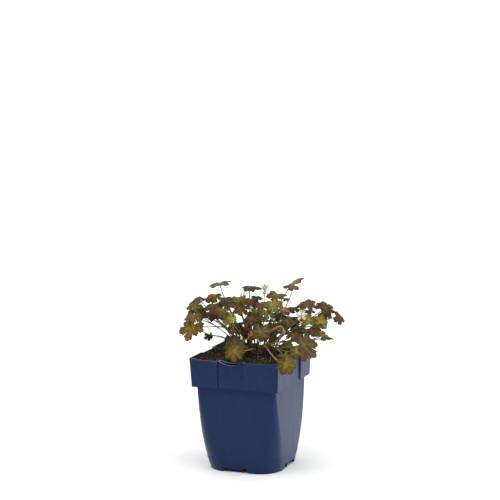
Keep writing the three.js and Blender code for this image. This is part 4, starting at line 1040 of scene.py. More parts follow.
def vein_cover(leaf, degrees, distance, width):
    """How much of a point lies on a vein, 0 to 1: a bell curve about each lobe's main vein,
    and about the side veins that leave it for the side teeth and the dents."""
    cover = np.zeros_like(distance)
    outer = max(abs(turn) for turn, _ in leaf.teeth) * leaf.plan.step
    for angle, length in leaf.plan.lobes:
        share = distance / length
        off = degrees - angle
        for way, leaves_at, strength in VEINS:
            lean = way * outer * np.clip((share - leaves_at) / (VEIN_END - leaves_at), 0, 1.2)
            across = distance * (off - lean) * DEG
            own = np.exp(-(across / width) ** 2) * (share > leaves_at) * (np.abs(off) < 40)
            cover = np.maximum(cover, own * strength)
    return cover


def lobe_offset(leaf, degrees):
    """Per angle, the nearest lobe's number and how far off its middle it is, 0 to 1."""
    angles = np.array([angle for angle, _ in leaf.plan.lobes])
    off = np.abs(degrees[..., None] - angles)
    return off.argmin(-1), np.clip(off.min(-1) / (leaf.plan.step / 2), 0, 1)


def mottle(draw, x, y, size):
    """Soft blotches: three crossed waves of a length, from -1 to 1."""
    total = np.zeros_like(x)
    for _ in range(3):
        angle = draw() * 2 * math.pi
        wave = (x * math.cos(angle) + y * math.sin(angle)) * 2 * math.pi / size
        total += np.sin(wave + draw() * 2 * math.pi)
    return total / 3


def blade_colors(leaf, draw, degrees, distance, share, settings):
    """A blade's upper and lower colours: the hub's tone fades into the blade's and that into
    the edge's, veins lie over it, marked lobes redden towards their tips, and painted shade
    darkens each lobe towards its sides."""
    hub, middle, edge, vein = palette(TONES[leaf.tone])
    blotch = mottle(draw, *on_disc(degrees, distance), BLOTCH_MM)
    color = blend(middle, hub, np.exp(-(share / 0.3) ** 2) * 0.6 + 0.12 * blotch)
    color = blend(color, edge, smooth(0.5, 1.0, share + 0.16 * blotch) * settings.edge_tint)
    nearest, off_middle = lobe_offset(leaf, degrees)
    red = np.array([leaf.red.get(k, 0.0) for k in range(leaf.lobes)])[nearest]
    color = blend(color, linear(RED_TISSUE), red * smooth(0.6, 1.0, share + 0.12 * blotch))
    cover = vein_cover(leaf, degrees, distance, VEIN_WIDTH)
    color = blend(color, vein, cover * settings.vein_tint * (1 - 0.5 * share))
    own = SHADES.get(leaf.name, 1 + 0.7 * (draw() - 0.5))
    # Painted shade: each lobe is lighter along its middle and darker towards its sides, where it
    # meets the next; the rest is the leaf's own lightness and blotches.
    shade = own * (1 + 0.26 * blotch) * (1.1 - 0.36 * off_middle * share)
    color = color * shade[..., None]
    return color, blend(color, linear(UNDERSIDE), 0.45 + 0.2 * cover)


def add_blade(skin, leaf, settings):
    """One blade: a polar grid over the CAD blade's surface. Veins lie in grooves, the tissue
    between them is raised, each lobe folds up a little at its sides, and the edge droops."""
    draw = seeded(leaf.seed + 5)
    edge_degrees, edge_distance = blade_edge(leaf, draw)
    rings = len(RING_SHARES)
    count = len(edge_degrees)
    share = np.repeat(RING_SHARES[:, None], count, 1)
    degrees = np.repeat(edge_degrees[None], rings, 0)
    distance = share * edge_distance[None]
    _, off_middle = lobe_offset(leaf, degrees)
    grooves = vein_cover(leaf, degrees, distance, GROOVE_WIDTH)
    size = leaf.radius
    puckers = mottle(draw, *on_disc(degrees, distance), PUCKER_MM)
    relief = (-0.4 * grooves * smooth(0.05, 0.3, share) + 0.12
              + 0.07 * size * share * (off_middle - 0.45)
              - 0.05 * size * smooth(0.7, 1.0, share) * off_middle
              + 0.34 * puckers * smooth(0.1, 0.6, share))
    half = (EDGE_THICK + (BLADE_THICK - EDGE_THICK) * (1 - share ** 3)) / 2
    upper = blade_points(leaf, degrees, distance, relief + half)
    lower = blade_points(leaf, degrees, distance, relief - half)
    hub = blade_points(leaf, [0, 0], [0, 0], np.array([1, -1]) * BLADE_THICK / 2)
    color, under = blade_colors(leaf, draw, degrees, distance, share, settings)
    points = np.vstack([upper.reshape(-1, 3), lower.reshape(-1, 3), hub])
    colors = np.vstack([color.reshape(-1, 3), under.reshape(-1, 3), color[:1, 0], under[:1, 0]])
    total = rings * count
    top = grid_faces(rings, count, True)
    first = np.arange(count)
    edge = first + total - count
    after = np.roll(edge, -1)
    skin.add(points, colors, [
        top[:, ::-1], top + total,
        fan(first, 2 * total), fan(total + first, 2 * total + 1, flipped=True),
        np.stack([edge, edge + total, after + total, after], -1),
    ])


def stem_path(stem):
    """A stem's centre line: its foot in the compost, if it has one, and its curve."""
    path = stem.route(np.linspace(0, 1, STEM_SAMPLES))
    if stem.foot is None:
        return path
    return np.vstack([stem.foot - [0, 0, SOIL.hole_depth], stem.foot, path])


def add_hairs(skin, path, radius, draw, count, color):
    """Fine hairs that stand out of a stem: each a slim three-sided needle whose foot is on
    the stem's skin and which leans a little along it."""
    at = draw(count) * (len(path) - 1.001)
    index = at.astype(int)
    run = (at - index)[:, None]
    base = path[index] * (1 - run) + path[index + 1] * run
    along = unit_rows(path[index + 1] - path[index])
    out = draw((count, 3)) - 0.5
    out = unit_rows(out - along * np.sum(out * along, 1)[:, None])
    across = np.cross(along, out)
    root = base + out * radius * 0.9
    tip = root + (out + 0.3 * along) * (0.5 + 0.5 * draw(count))[:, None]
    corners = [root + across * 0.05, root - across * 0.05 + along * 0.05,
               root - across * 0.05 - along * 0.05, tip]
    first = 4 * np.arange(count)[:, None]
    needle = ((0, 1, 3), (1, 2, 3), (2, 0, 3), (0, 2, 1))
    faces = np.concatenate([first + list(face) for face in needle])
    skin.add(np.stack(corners, 1).reshape(-1, 3), linear(color), [faces], STEM_SLOT)


def add_stem(skin, stem, colors, hairs=None):
    """One petiole or stalk: a round tube that thins towards its seat, its colour going from
    that of its foot to that of its top, and `hairs`, their number and colour, on it."""
    path = stem_path(stem)
    thick = stem.leaf.stem
    thinning = 0.42 if thick > 0.8 else 0.25
    radii = thick * (1.05 - thinning * np.linspace(0, 1, len(path)))
    points, faces, share = round_tube(path, radii, STEM_SIDES)
    skin.add(points, blend(*palette(colors), smooth(0.1, 0.8, share)), faces, STEM_SLOT)
    if hairs:
        draw = np.random.default_rng(stem.leaf.seed).random
        add_hairs(skin, path[2:], thick, draw, *hairs)


def leafy_materials():
    """The materials of a piece with blades and stems, in the order that faces number them."""
    return [tissue_material("downy_leaf_tissue"), tissue_material("juicy_stem_skin")]


def make_shoot(name, shoot, settings):
    """One leafy shoot: its blades, their petioles, and the down on them."""
    skin = Skin()
    for number, stem in enumerate(shoot):
        leaf = stem.leaf
        add_blade(skin, leaf, settings)
        tones = STEM_COLORS.get(leaf.name, STEM_TONES[(leaf.seed + number) % len(STEM_TONES)])
        add_stem(skin, stem, tones, PETIOLE_HAIRS)
    skin.piece(f"{name}_shoot", leafy_materials(), SLOTS.get(name, "leaf"), f"shoot_{name}")


# ---------- flowers and seed head
# Each flower: its name, how wide its petals are, the colours of its stalk's foot and top, and
# those of its sepals' foot, middle and edge.
FLOWERS = [
    ("bloom_1", 4.0, ("7a7646", "9a9660"), ("8f8a58", "827c4c", "8f6a4c")),
    ("bloom_2", 3.08, ("6d5a38", "7d7444"), ("7d7a44", "6a6036", "7f4f38")),
]
PETAL_COLORS = ("b09c88", "c4bba0", "d6cfba")
OVARY = ([(-0.1, 1.1), (0.8, 1.15), (1.6, 0.8)], 12, ("b9bf86", "cfd0a4"))
STYLE_COLORS = ("cfd0a4", "e8d6c4")
STAMENS = 10
FILAMENT_COLORS = ("efe9dc", "efe2d0")
ANTHER_COLORS = ("b98f8f", "a97d80")
CALYX = [(-2.2, 0.55), (-1.2, 0.95), (-0.4, 0.85)]
SEED_STALK_COLORS = ("6b5a3a", "8b6f48")
SEED_BASE = ([(-0.8, 0.7), (0.3, 1.25), (1.2, 1.0)], 12, ("6d5a34", "7c5a36"))
BEAK = [(0.3, 0.4), (2.2, 0.45), (3.6, 1.35), (5.4, 1.1), (8.5, 0.62)]  # with the seed in it
BEAK_COLORS = [("7c4e30", "a87850"), ("7c4e30", "a0905a")]
DRY_PETALS = 9
DRY_COLORS = [("6d6a3c", "8c7c46", "a87c4c"), ("6a4a2a", "a0683e", "b98456")]


def add_petal(skin, leaf, around, off, length, width, base, thick, colors, notch=0.0):
    """A petal or sepal along a ray: its width grows as a sine from a narrow foot, its end is
    round with a shallow notch, it is hollow across and curls outward with the square of the
    way along."""
    along = ray_directions(around, off)
    across = np.array([-math.sin(around), math.cos(around), 0])
    inward = np.cross(along, across)
    u = np.linspace(0, 1, 13)[:, None]
    v = np.linspace(-1, 1, 9)[None]
    round_end = np.sqrt(np.clip(1 - (np.clip(u - 0.62, 0, 1) / 0.4) ** 2, 0.03, 1))
    growth = 0.36 + 0.64 * np.sin(np.clip(u / 0.62, 0, 1) * math.pi / 2) ** 1.5
    half = width / 2 * growth * round_end
    reach = 0.5 + length * u * (1 - notch * np.exp(-(v / 0.35) ** 2) * u ** 6)
    curl = -0.06 * length * u ** 2 + 0.16 * width * v ** 2 + 0.05 * np.sin(v * 9 + u * 5) * u
    middle = (np.array([0, 0, base]) + reach[..., None] * along
              + (half * v)[..., None] * across + curl[..., None] * inward)
    offset = (thick / 2 * (1 - 0.6 * np.abs(v) ** 3) * np.ones_like(u))[..., None] * inward
    points, faces = sheet_between(middle + offset, middle - offset)
    foot, blade, edge = palette(colors)
    share = np.broadcast_to(u, middle.shape[:2])
    veins = 0.5 + 0.5 * np.cos(v * 14)
    color = blend(foot, blade, smooth(0.0, 0.4, share))
    color = blend(color, edge, smooth(0.8, 1.0, share) * 0.6 + 0.1 * veins * np.ones_like(u))
    skin.add(placed(leaf, points), np.tile(color.reshape(-1, 3), (2, 1)), faces)


def add_spindle(skin, leaf, direction, profile, sides, colors, material=0):
    """A round form of changing girth along a ray: `profile` lists distance and radius."""
    along, radii = np.array(profile, float).T
    fine = np.linspace(along[0], along[-1], 4 * len(along))
    points, faces, share = round_tube(fine[:, None] * direction, np.interp(fine, along, radii), sides)
    skin.add(placed(leaf, points), blend(*palette(colors), share), faces, material)


def petals_piece(name, leaf, width):
    """Five petals round the ovary, which ends in its style, and ten stamens."""
    skin = Skin()
    head = leaf.head
    around, off = head_rays(head)
    for k in range(PETALS):
        add_petal(skin, leaf, around[k], off[k] + 0.04 * (k % 2), head.length, width, 0.3,
                  0.28, PETAL_COLORS, notch=0.07)
    add_spindle(skin, leaf, UPWARD, *OVARY)
    length = head.length * 0.5
    add_spindle(skin, leaf, UPWARD, [(1.2, 0.5), (length, 0.24)], 8, STYLE_COLORS)
    for k in range(STAMENS):
        ray = ray_directions(k * 0.628, (14 + 10 * (k % 2)) * DEG)
        reach = length * (0.75 + 0.1 * (k % 3))
        anther = [(reach, 0.1), (reach + 0.25, 0.26), (reach + 0.7, 0.12)]
        add_spindle(skin, leaf, ray, [(0.8, 0.13), (reach, 0.09)], 5, FILAMENT_COLORS)
        add_spindle(skin, leaf, ray, anther, 6, ANTHER_COLORS)
    skin.piece(f"white_{name}", [tissue_material("silky_petal")], "petal", name)


def stalk_piece(name, stem, colors, sepal_colors):
    """A flower's hairy stalk, its calyx cup and five narrow sepals between the petals."""
    skin = Skin()
    leaf = stem.leaf
    add_stem(skin, stem, colors, STALK_HAIRS)
    add_spindle(skin, leaf, UPWARD, CALYX, 12, (colors[1], sepal_colors[0]), STEM_SLOT)
    around, off = head_rays(leaf.head)
    for k in range(PETALS):
        add_petal(skin, leaf, around[k] + math.pi / PETALS, off[k] + 38 * DEG,
                  leaf.head.length * 0.42, 1.5, -1.3, 0.3, sepal_colors)
    skin.piece(f"hairy_{name}", leafy_materials(), "stalk", name)


def seed_head_piece(name, stem):
    """A cranesbill fruit: long beaks with a seed in the foot of each and a dry tip, among
    petals and sepals that have dried on it."""
    skin = Skin()
    leaf = stem.leaf
    add_stem(skin, stem, SEED_STALK_COLORS)
    add_spindle(skin, leaf, UPWARD, *SEED_BASE)
    beak = BEAK + [(leaf.head.length + 2.5, 0.16)]
    for k, ray in enumerate(ray_directions(*head_rays(leaf.head))):
        add_spindle(skin, leaf, ray, beak, 10, BEAK_COLORS[k % 2])
    for k in range(DRY_PETALS):
        add_petal(skin, leaf, k * 1.257 / 1.8 + 0.4, (16 + 9 * (k % 3)) * DEG, 7.4 + 1.3 * (k % 2),
                  1.9, -0.4 + 0.3 * (k % 3), 0.3, DRY_COLORS[k % 2])
    skin.piece(f"cranesbill_{name}", leafy_materials(), "seed_head", name)


# ---------- pot
ABOVE_RIM = POT.height + OVERSHOOT
BAY_FACE = -POT.rim_half + RECESS.depth
SLOT_FRONT = BAY_FACE + LABEL_SLOT.lip
SLOT_BACK = SLOT_FRONT + LABEL_SLOT.gap + LABEL_SLOT.lip
SLOT_BLOCK_FOOT = POT.height - LABEL_SLOT.depth - LABEL_SLOT.floor
BODY_LEVELS = 26
SHADE_SHARP = 28 * DEG  # edges sharper than this stay sharp in the shading
BEVEL_FROM = 40 * DEG  # and those sharper than this are broken
# Painted highlight: the rim's faces that look up, from this height, are lightened towards pale
# lavender; a label slot's lips fully, the rest a little.
HIGHLIGHT_FROM = NECK_Z + 12
PLAIN_HIGHLIGHT = 0.06  # of the rim's top, where a label slot's lips have 1
# Painted shade on the rim's faces that look in, how dark the top of its left side gets, and how wide
# that strip is.
DARKENING = Record(inside=0.7, heaped_side=0.9, side_width=6)


def solid_object(name, points, faces):
    """A plain mesh object from points in millimetres, linked so that it can be evaluated."""
    mesh = bpy.data.meshes.new(name)
    mesh.from_pydata((np.asarray(points) * MM).tolist(), [], faces)
    return new_object(name, mesh)


def evaluated_mesh(solid):
    """The mesh of an object with its modifiers applied."""
    bpy.context.view_layer.update()
    graph = bpy.context.evaluated_depsgraph_get()
    return bpy.data.meshes.new_from_object(solid.evaluated_get(graph))


def joined_with(solid, others, operation):
    """Joins or cuts a solid with others, one after another, and drops them."""
    for other in others:
        step = solid.modifiers.new(operation.title(), "BOOLEAN")
        step.operation = operation
        step.solver = "EXACT"
        step.object = other
        made = evaluated_mesh(solid)
        solid.modifiers.clear()
        solid.data = made
        bpy.data.objects.remove(other)
    return solid


def block(x0, x1, y0, y1, z0, z1, turn=0):
    """A box for a side of the pot: turn 0 is the front, 2 the back, 1 the right and 3 the
    left, where the right mirrors the front about the near corner's diagonal."""
    square = ((x0, y0), (x1, y0), (x1, y1), (x0, y1))
    corners = [[x, y, z] for z in (z0, z1) for x, y in square]
    faces = [[3, 2, 1, 0], [4, 5, 6, 7], [0, 1, 5, 4], [1, 2, 6, 5], [2, 3, 7, 6], [3, 0, 4, 7]]
    return side_solid(corners, faces, turn)


def side_solid(points, faces, turn):
    """Turns a solid that was made for the front to one of the four sides."""
    points = np.asarray(points, float)
    if turn in (1, 3):
        points = np.stack([-points[:, 1], -points[:, 0], points[:, 2]], -1)
        faces = [face[::-1] for face in faces]
    if turn in (2, 3):
        points = points * [-1, -1, 1]
    return solid_object("cutter", points, faces)


def upright_cylinder(radius, x, y, z0, z1, sides=48):
    """An upright cylinder: two rings of points with flat ends."""
    angle = circle(sides)
    ring = np.stack([x + radius * np.cos(angle), y + radius * np.sin(angle)], -1)
    return lofted([np.column_stack([ring, np.full(sides, z)]) for z in (z0, z1)])


def loft_faces(rings, count):
    """Quads between rings of equal point count, and one face over each end."""
    last = (rings - 1) * count
    ends = [list(range(count))[::-1], list(range(last, last + count))]
    return grid_faces(rings, count, True).tolist() + ends


def lofted(rings):
    """A closed solid through rings of equal point count, with flat ends."""
    return solid_object("loft", np.vstack(rings), loft_faces(len(rings), len(rings[0])))


def rounded_square(half, corner, z, steps=14):
    """A level square ring with round corners, anticlockwise: a quarter circle at each corner."""
    quarter = np.repeat(np.arange(4), steps + 1)
    angle = (quarter + np.tile(np.arange(steps + 1) / steps, 4)) * math.pi / 2
    sx = np.where((quarter == 0) | (quarter == 3), 1, -1)
    sy = np.where(quarter < 2, 1, -1)
    x = sx * (half - corner) + corner * np.cos(angle)
    y = sy * (half - corner) + corner * np.sin(angle)
    return np.stack([x, y, np.full_like(x, z)], -1)


def body_at(z):
    """The body's half width and corner radius: it draws in with the cube of the way down,
    while its corners grow steadily rounder."""
    down = (NECK_Z - z) / NECK_Z
    half = POT.neck_half + POT.body_bulge * down - POT.body_taper * down ** 3
    return half, POT.neck_corner + (POT.base_corner - POT.neck_corner) * down


def body_ring(z, inset):
    """The body's ring at a height: under the moulded line its outside stands a little proud."""
    half, corner = body_at(min(z, NECK_Z))
    above_line = smooth(FOOT_LINE.low, FOOT_LINE.high, z)
    proud = 0 if inset else FOOT_LINE.proud * (1 - above_line)
    return rounded_square(half - inset + proud, max(corner - inset, 0.8), z)


def body_solid(low, high, inset, levels=BODY_LEVELS):
    """The body between two heights, drawn in by `inset`."""
    heights = list(np.linspace(low, high, levels + 1))
    if inset == 0:
        heights = sorted(heights + [FOOT_LINE.low, FOOT_LINE.high])
    return lofted([body_ring(z, inset) for z in heights])


def rim_half_at(z):
    """The rim's half width: it widens evenly from the band's foot to its top."""
    up = (z - NECK_Z) / POT.rim_depth
    return POT.rim_foot_half + (POT.rim_half - POT.rim_foot_half) * up


def rim_solid(inset, corner, low, high):
    """A block of the rim's shape, drawn in by `inset`."""
    return lofted([rounded_square(rim_half_at(NECK_Z) - inset, corner, low, 6),
                   rounded_square(rim_half_at(high) - inset, corner, high, 6)])


def upright_slab(outline, y0, y1, turn):
    """A slab between two depths whose outline is given by points of x and z."""
    outline = np.asarray(outline, float)
    points = np.vstack([np.insert(outline, 1, y, axis=1) for y in (y0, y1)])
    faces = [face[::-1] for face in loft_faces(2, len(outline))]
    return side_solid(points, faces, turn)


def arc_dip(centre, width, dip, y0, y1, turn):
    """A dip in a wall's top edge: a parabola as deep as `dip` over `width`."""
    t = np.linspace(0, 1, 25)
    x = centre - width / 2 + width * t
    z = POT.height - EDGE_DIP.depth - 4 * dip * t * (1 - t)
    outline = np.vstack([np.stack([x, z], -1), [(x[-1], ABOVE_RIM), (x[0], ABOVE_RIM)]])
    return upright_slab(outline, y0, y1, turn)


def edge_dip(turn):
    """The part of the front or back edge between its corners that is taken away."""
    half_outline = [(EDGE_DIP.near, POT.height - EDGE_DIP.depth), (EDGE_DIP.far, POT.height),
                    (EDGE_DIP.far, ABOVE_RIM)]
    outline = [(-x, z) for x, z in half_outline[1::-1]] + half_outline + [(-EDGE_DIP.far, ABOVE_RIM)]
    y0 = -POT.rim_half - 2
    return upright_slab(outline, y0, y0 + EDGE_DIP.reach, turn)


def bay_blocks(wider, face, foot, turns):
    """Blocks that stand in the bays of some sides and reach back to `face`, `wider` than the
    bays at both ends."""
    return [block(RECESS.low - wider, RECESS.high + wider, -POT.rim_half - OVERSHOOT, face,
                  foot, ABOVE_RIM, turn) for turn in turns]


def label_cuts(turn):
    """The label slot and the dips of its two lips."""
    centre = (RECESS.low + RECESS.high) / 2
    half = LABEL_SLOT.width / 2
    slot = block(centre - half, centre + half, SLOT_FRONT, SLOT_FRONT + LABEL_SLOT.gap,
                 POT.height - LABEL_SLOT.depth, ABOVE_RIM, turn)
    outer = arc_dip(centre, LABEL_SLOT.outer_arc, LABEL_SLOT.outer_dip,
                    -POT.rim_half - 1, SLOT_FRONT + 0.2, turn)
    inner = arc_dip(centre, LABEL_SLOT.inner_arc, LABEL_SLOT.inner_dip,
                    SLOT_FRONT + 0.1, SLOT_BACK + 0.5, turn)
    return [slot, outer, inner]


def pot_solid():
    """The pot as moulded: body and rim band, hollowed, cut and pierced as the CAD pot is."""
    wall, pad = POT.wall, POT.pad_radius
    floor_under, floor_top = POT.floor_under, POT.floor_top
    bay_foot = NECK_Z - OVERSHOOT
    bays = bay_blocks(0, BAY_FACE, bay_foot, range(4))
    band = joined_with(rim_solid(0, POT.rim_corner, NECK_Z, POT.height), bays, "DIFFERENCE")
    outer = joined_with(body_solid(0, NECK_Z + 2, 0), [band], "UNION")
    mouth = rim_solid(wall, 0.6, NECK_Z + wall, ABOVE_RIM)
    bay_walls = bay_blocks(wall, BAY_FACE + wall, bay_foot, range(4))
    slot_blocks = bay_blocks(-1, SLOT_BACK, SLOT_BLOCK_FOOT, (0, 2))
    mouth = joined_with(mouth, bay_walls + slot_blocks, "DIFFERENCE")
    dish = upright_cylinder(pad - wall, 0, 0, wall, floor_top + 1)
    hollow = body_solid(floor_top, NECK_Z + 3, wall)
    cavity = joined_with(hollow, [mouth, dish], "UNION")
    boss = upright_cylinder(pad, 0, 0, -2, floor_under + 1)
    underside = joined_with(body_solid(-1, floor_under, wall + 0.3, 3), [boss], "DIFFERENCE")
    cuts = [cavity, underside]
    for turn in (0, 2):
        cuts += label_cuts(turn) + [edge_dip(turn)]
    front, back = FOOT_CUT_REACH
    cuts += [block(low, high, front, back, -1, top, turn)
             for low, high, top in FOOT_CUTS for turn in range(4)]
    pot = joined_with(outer, cuts, "DIFFERENCE")
    arch_from, arch_to, _ = FOOT_CUTS[0]
    webs = [block(arch_from - 1, arch_to + 1, FOOT_WEB.outer, FOOT_WEB.inner,
                  FOOT_WEB.low, floor_under + 1, turn) for turn in range(4)]
    pot = joined_with(pot, webs, "UNION")
    at = DRAIN.at
    drains = [upright_cylinder(DRAIN.radius, x, y, floor_under - 1, floor_top + 1, 24)
              for x in (-at, at) for y in (-at, at)]
    return joined_with(pot, drains, "DIFFERENCE")


def make_pot(settings):
    """The finished pot: the moulded solid with its edges broken by a small radius."""
    pot = pot_solid()
    pot.name = "square_pot"
    pot.data.name = "square_pot"
    pot.data.materials.clear()
    pot.data.materials.append(pot_material(settings))
    pot.data.polygons.foreach_set("use_smooth", [True] * len(pot.data.polygons))
    pot.data.set_sharp_from_angle(angle=SHADE_SHARP)
    edge = pot.modifiers.new("Broken edges", "BEVEL")
    edge.width = settings.edge_radius
    edge.segments = 2
    edge.limit_method = "ANGLE"
    edge.angle_limit = BEVEL_FROM
    even = pot.modifiers.new("Even shading", "WEIGHTED_NORMAL")
    even.keep_sharp = True
    pot.data = evaluated_mesh(pot)
    pot.modifiers.clear()
    add_highlight_and_darkening(pot.data)
    dressed(pot, "pot", "pot")


def add_highlight_and_darkening(mesh):
    """Marks each face's painted highlight: the rim's faces that look up are lightened, most on
    the label slots' lips. Marks its darkening as well: painted shade where the rim faces in,
    and the top of its left side darkened to the compost's colour."""
    centre, normal = np.zeros((2, 3 * len(mesh.polygons)))
    mesh.polygons.foreach_get("center", centre)
    mesh.polygons.foreach_get("normal", normal)
    x, y, z = centre.reshape(-1, 3).T / MM
    nx, ny, nz = normal.reshape(-1, 3).T
    # Painted highlight on the rim's faces that look up.
    up = smooth(0.2, 0.7, nz) * (z > HIGHLIGHT_FROM)
    way = np.where(y > 0, -x, x)
    lip = (way > RECESS.low) & (way < RECESS.high) & (np.abs(y) > -SLOT_BACK - 1)
    # Painted shade: the rim's faces that look in are darkened, but not the lips.
    inward = smooth(0.2, 0.6, -(nx * x + ny * y) / np.hypot(x, y)) * (z > NECK_Z)
    # The top of the rim's left side is darkened to the compost's colour.
    darkened_top = up * (x < DARKENING.side_width - POT.rim_half)
    soiled = np.maximum(DARKENING.inside * inward * ~lip, DARKENING.heaped_side * darkened_top)
    for name, values in (("wear", up * np.where(lip, 1.0, PLAIN_HIGHLIGHT)), ("soiled", soiled)):
        mesh.attributes.new(name, "FLOAT", "FACE").data.foreach_set("value", values)


# ---------- compost
COMPOST_GRID = 170  # points along each side of the top
COMPOST_HALF = rim_half_at(SOIL.level) - POT.wall - 0.12
WALL_PLAY = 0.3  # from the pot's inner wall, below the label slots
FLOOR_LEVEL = POT.floor_top + 0.4
LATTICE = 96
# Crumbs of the surface: size in mm, seed, height, power and the middle of the noise.
CRUMBS = [(5.2, 3, 1.5, 1, 0.5), (2.4, 4, 1.5, 2, 0.3), (1.3, 5, 0.7, 1, 0.5)]
COMPOST_COLORS = ("17110d", "2b211a", "3a251b")
# Loose bits on the compost: how many, their length and width ranges in mm, and colours.
STREWN = [
    (520, (1.5, 4.5), (0.5, 1.1), ("241a13", "31231a", "16110d", "3c2d22")),
    (150, (4.0, 11.0), (0.22, 0.42), ("5a4433", "75604a", "44301f", "5e3a2c")),
    (46, (1.2, 2.4), (1.0, 1.9), ("8f8468", "756a52", "5a4c3c")),
    (26, (7.0, 15.0), (0.4, 0.7), ("8f7a58", "755c42", "9a8a6a")),
]
# Straws that stand out: across, away, length, width, turn and pitch in degrees, and colour.
STRAWS = [
    (-47.5, 17, 9, 0.5, 75, 42, "8a7658"), (-42.5, 12, 11, 0.4, 100, 30, "7d6448"),
    (-38, 20, 8, 0.45, 60, 50, "6d4a36"), (-50.5, 6, 7, 0.4, 120, 24, "94805e"),
    (-33, 6, 10, 0.35, 20, 12, "6f4434"), (21.5, -49, 7, 0.7, 95, 58, "8f7c58"),
    (14, -30, 9, 0.5, 15, 8, "5e3f30"), (2, -38, 11, 0.4, 160, 6, "75604a"),
    (8.5, -8, 3.4, 1.6, 70, 50, "a8a070"), (28, -36, 8, 0.5, 140, 10, "6a4a38"),
]
SLIVER_STATIONS = np.array([-0.5, -0.2, 0.2, 0.5])
SLIVER_GIRTHS = np.array([0.35, 1.0, 0.9, 0.3])
SLIVER_SIDES = 5


def lattice_noise(x, y, size, seed):
    """Smooth noise from 0 to 1: random values on a square lattice of `size` mm, blended with
    an S-shaped weight."""
    values = np.random.default_rng(seed).random((LATTICE, LATTICE))
    fx = x / size + 40.0
    fy = y / size + 40.0
    ix = np.floor(fx).astype(int)
    iy = np.floor(fy).astype(int)
    wx = smooth(0, 1, fx - ix)
    wy = smooth(0, 1, fy - iy)
    low, high = (values[ix % LATTICE, (iy + b) % LATTICE] * (1 - wx)
                 + values[(ix + 1) % LATTICE, (iy + b) % LATTICE] * wx for b in (0, 1))
    return low * (1 - wy) + high * wy


def crumb_height(x, y):
    """The compost's surface: its gentle form plus crumbs of three sizes, where a power makes
    the peaks rarer and sharper."""
    crumbs = [height * (lattice_noise(x, y, size, seed) ** power - middle)
              for size, seed, height, power, middle in CRUMBS]
    return soil_height(x, y) + (crumbs[0] + crumbs[1] + crumbs[2])


def inner_reach(along, front_or_back, far):
    """How far the compost reaches towards a wall at a place along it: less behind a bay, and
    less again behind a label slot, which only the front and back have. On the far walls the
    bays lie mirrored."""
    bay = POT.rim_half - RECESS.depth - POT.wall - 0.35
    slot = -SLOT_BACK - 0.3
    way = np.where(far, -along, along)
    low, high = RECESS.low - POT.wall, RECESS.high + POT.wall
    reach = np.where((way > low) & (way < high), bay, COMPOST_HALF)
    if front_or_back:
        reach = np.where((way > low + 2.6) & (way < high - 2.6), slot, reach)
    return reach


def in_plastic(x, y):
    """True where the walls behind the bays and the label slots are."""
    return (np.abs(x) > inner_reach(y, False, x > 0)) | (np.abs(y) > inner_reach(x, True, y > 0))


def rounded_in(unit_square, width, corner):
    """Points of a unit square's sides moved in to a rounded square, its corners along their
    radii."""
    inner = width - corner
    square = unit_square * width
    past = np.maximum(np.abs(square) - inner, 0)
    both = np.hypot(past[:, 0], past[:, 1])
    pull = np.where((past > 0).all(1), corner / np.maximum(both, 1e-9), 1.0)
    return np.sign(square) * (np.minimum(np.abs(square), inner) + past * pull[:, None])


def compost_form():
    """The compost's points and faces: a crumbed grid for its top, rings that go down from the
    grid's border along the pot's inner wall, and a flat floor."""
    n = COMPOST_GRID
    side = np.linspace(-COMPOST_HALF, COMPOST_HALF, n)
    x, y = np.meshgrid(side, side)
    border = grid_border(n, n)
    unit_square = np.stack([x, y], -1).reshape(-1, 2)[border] / COMPOST_HALF
    x, y = (x * inner_reach(y, False, x > 0) / COMPOST_HALF,
            y * inner_reach(x, True, y > 0) / COMPOST_HALF)
    top = np.stack([x, y, crumb_height(x, y)], -1).reshape(-1, 3)
    below_slots = top[border]
    below_slots[:, 2] = SLOT_BLOCK_FOOT - 4
    rings = [below_slots]
    for level in (NECK_Z + 2.5, NECK_Z, NECK_Z * 0.75, NECK_Z * 0.5, NECK_Z * 0.3, FLOOR_LEVEL):
        if level > NECK_Z:
            width, corner = rim_half_at(NECK_Z) - POT.wall - WALL_PLAY, 1.0
        else:
            width, corner = (value - POT.wall - WALL_PLAY for value in body_at(level))
        flat = rounded_in(unit_square, width, corner)
        rings.append(np.column_stack([flat, np.full(len(flat), level)]))
    points = np.vstack([top] + rings + [[[0, 0, FLOOR_LEVEL]]])
    m = len(border)
    first = n * n + np.arange(m)
    last = first + (len(rings) - 1) * m
    faces = [
        grid_faces(n, n, False),
        np.stack([border, first, np.roll(first, -1), np.roll(border, -1)], -1),
        grid_faces(len(rings), m, True, n * n)[:, ::-1],
        fan(last, len(points) - 1, flipped=True),
    ]
    return points, faces


def make_compost(settings):
    """The compost, with dark, brown and reddish patches, and the loose bits on it."""
    skin = Skin()
    points, faces = compost_form()
    x, y = points[:, 0], points[:, 1]
    dark, brown, red = palette(COMPOST_COLORS)
    color = blend(dark, brown, lattice_noise(x, y, 3.1, 8))
    color = blend(color, red, smooth(0.55, 0.9, lattice_noise(x, y, 4.7, 9)) * 0.7)
    skin.add(points, color * settings.compost_light, faces)
    strew(skin, settings)
    materials = [compost_material(), tissue_material("juicy_stem_skin")]
    skin.piece("compost_bed", materials, "compost", "compost")


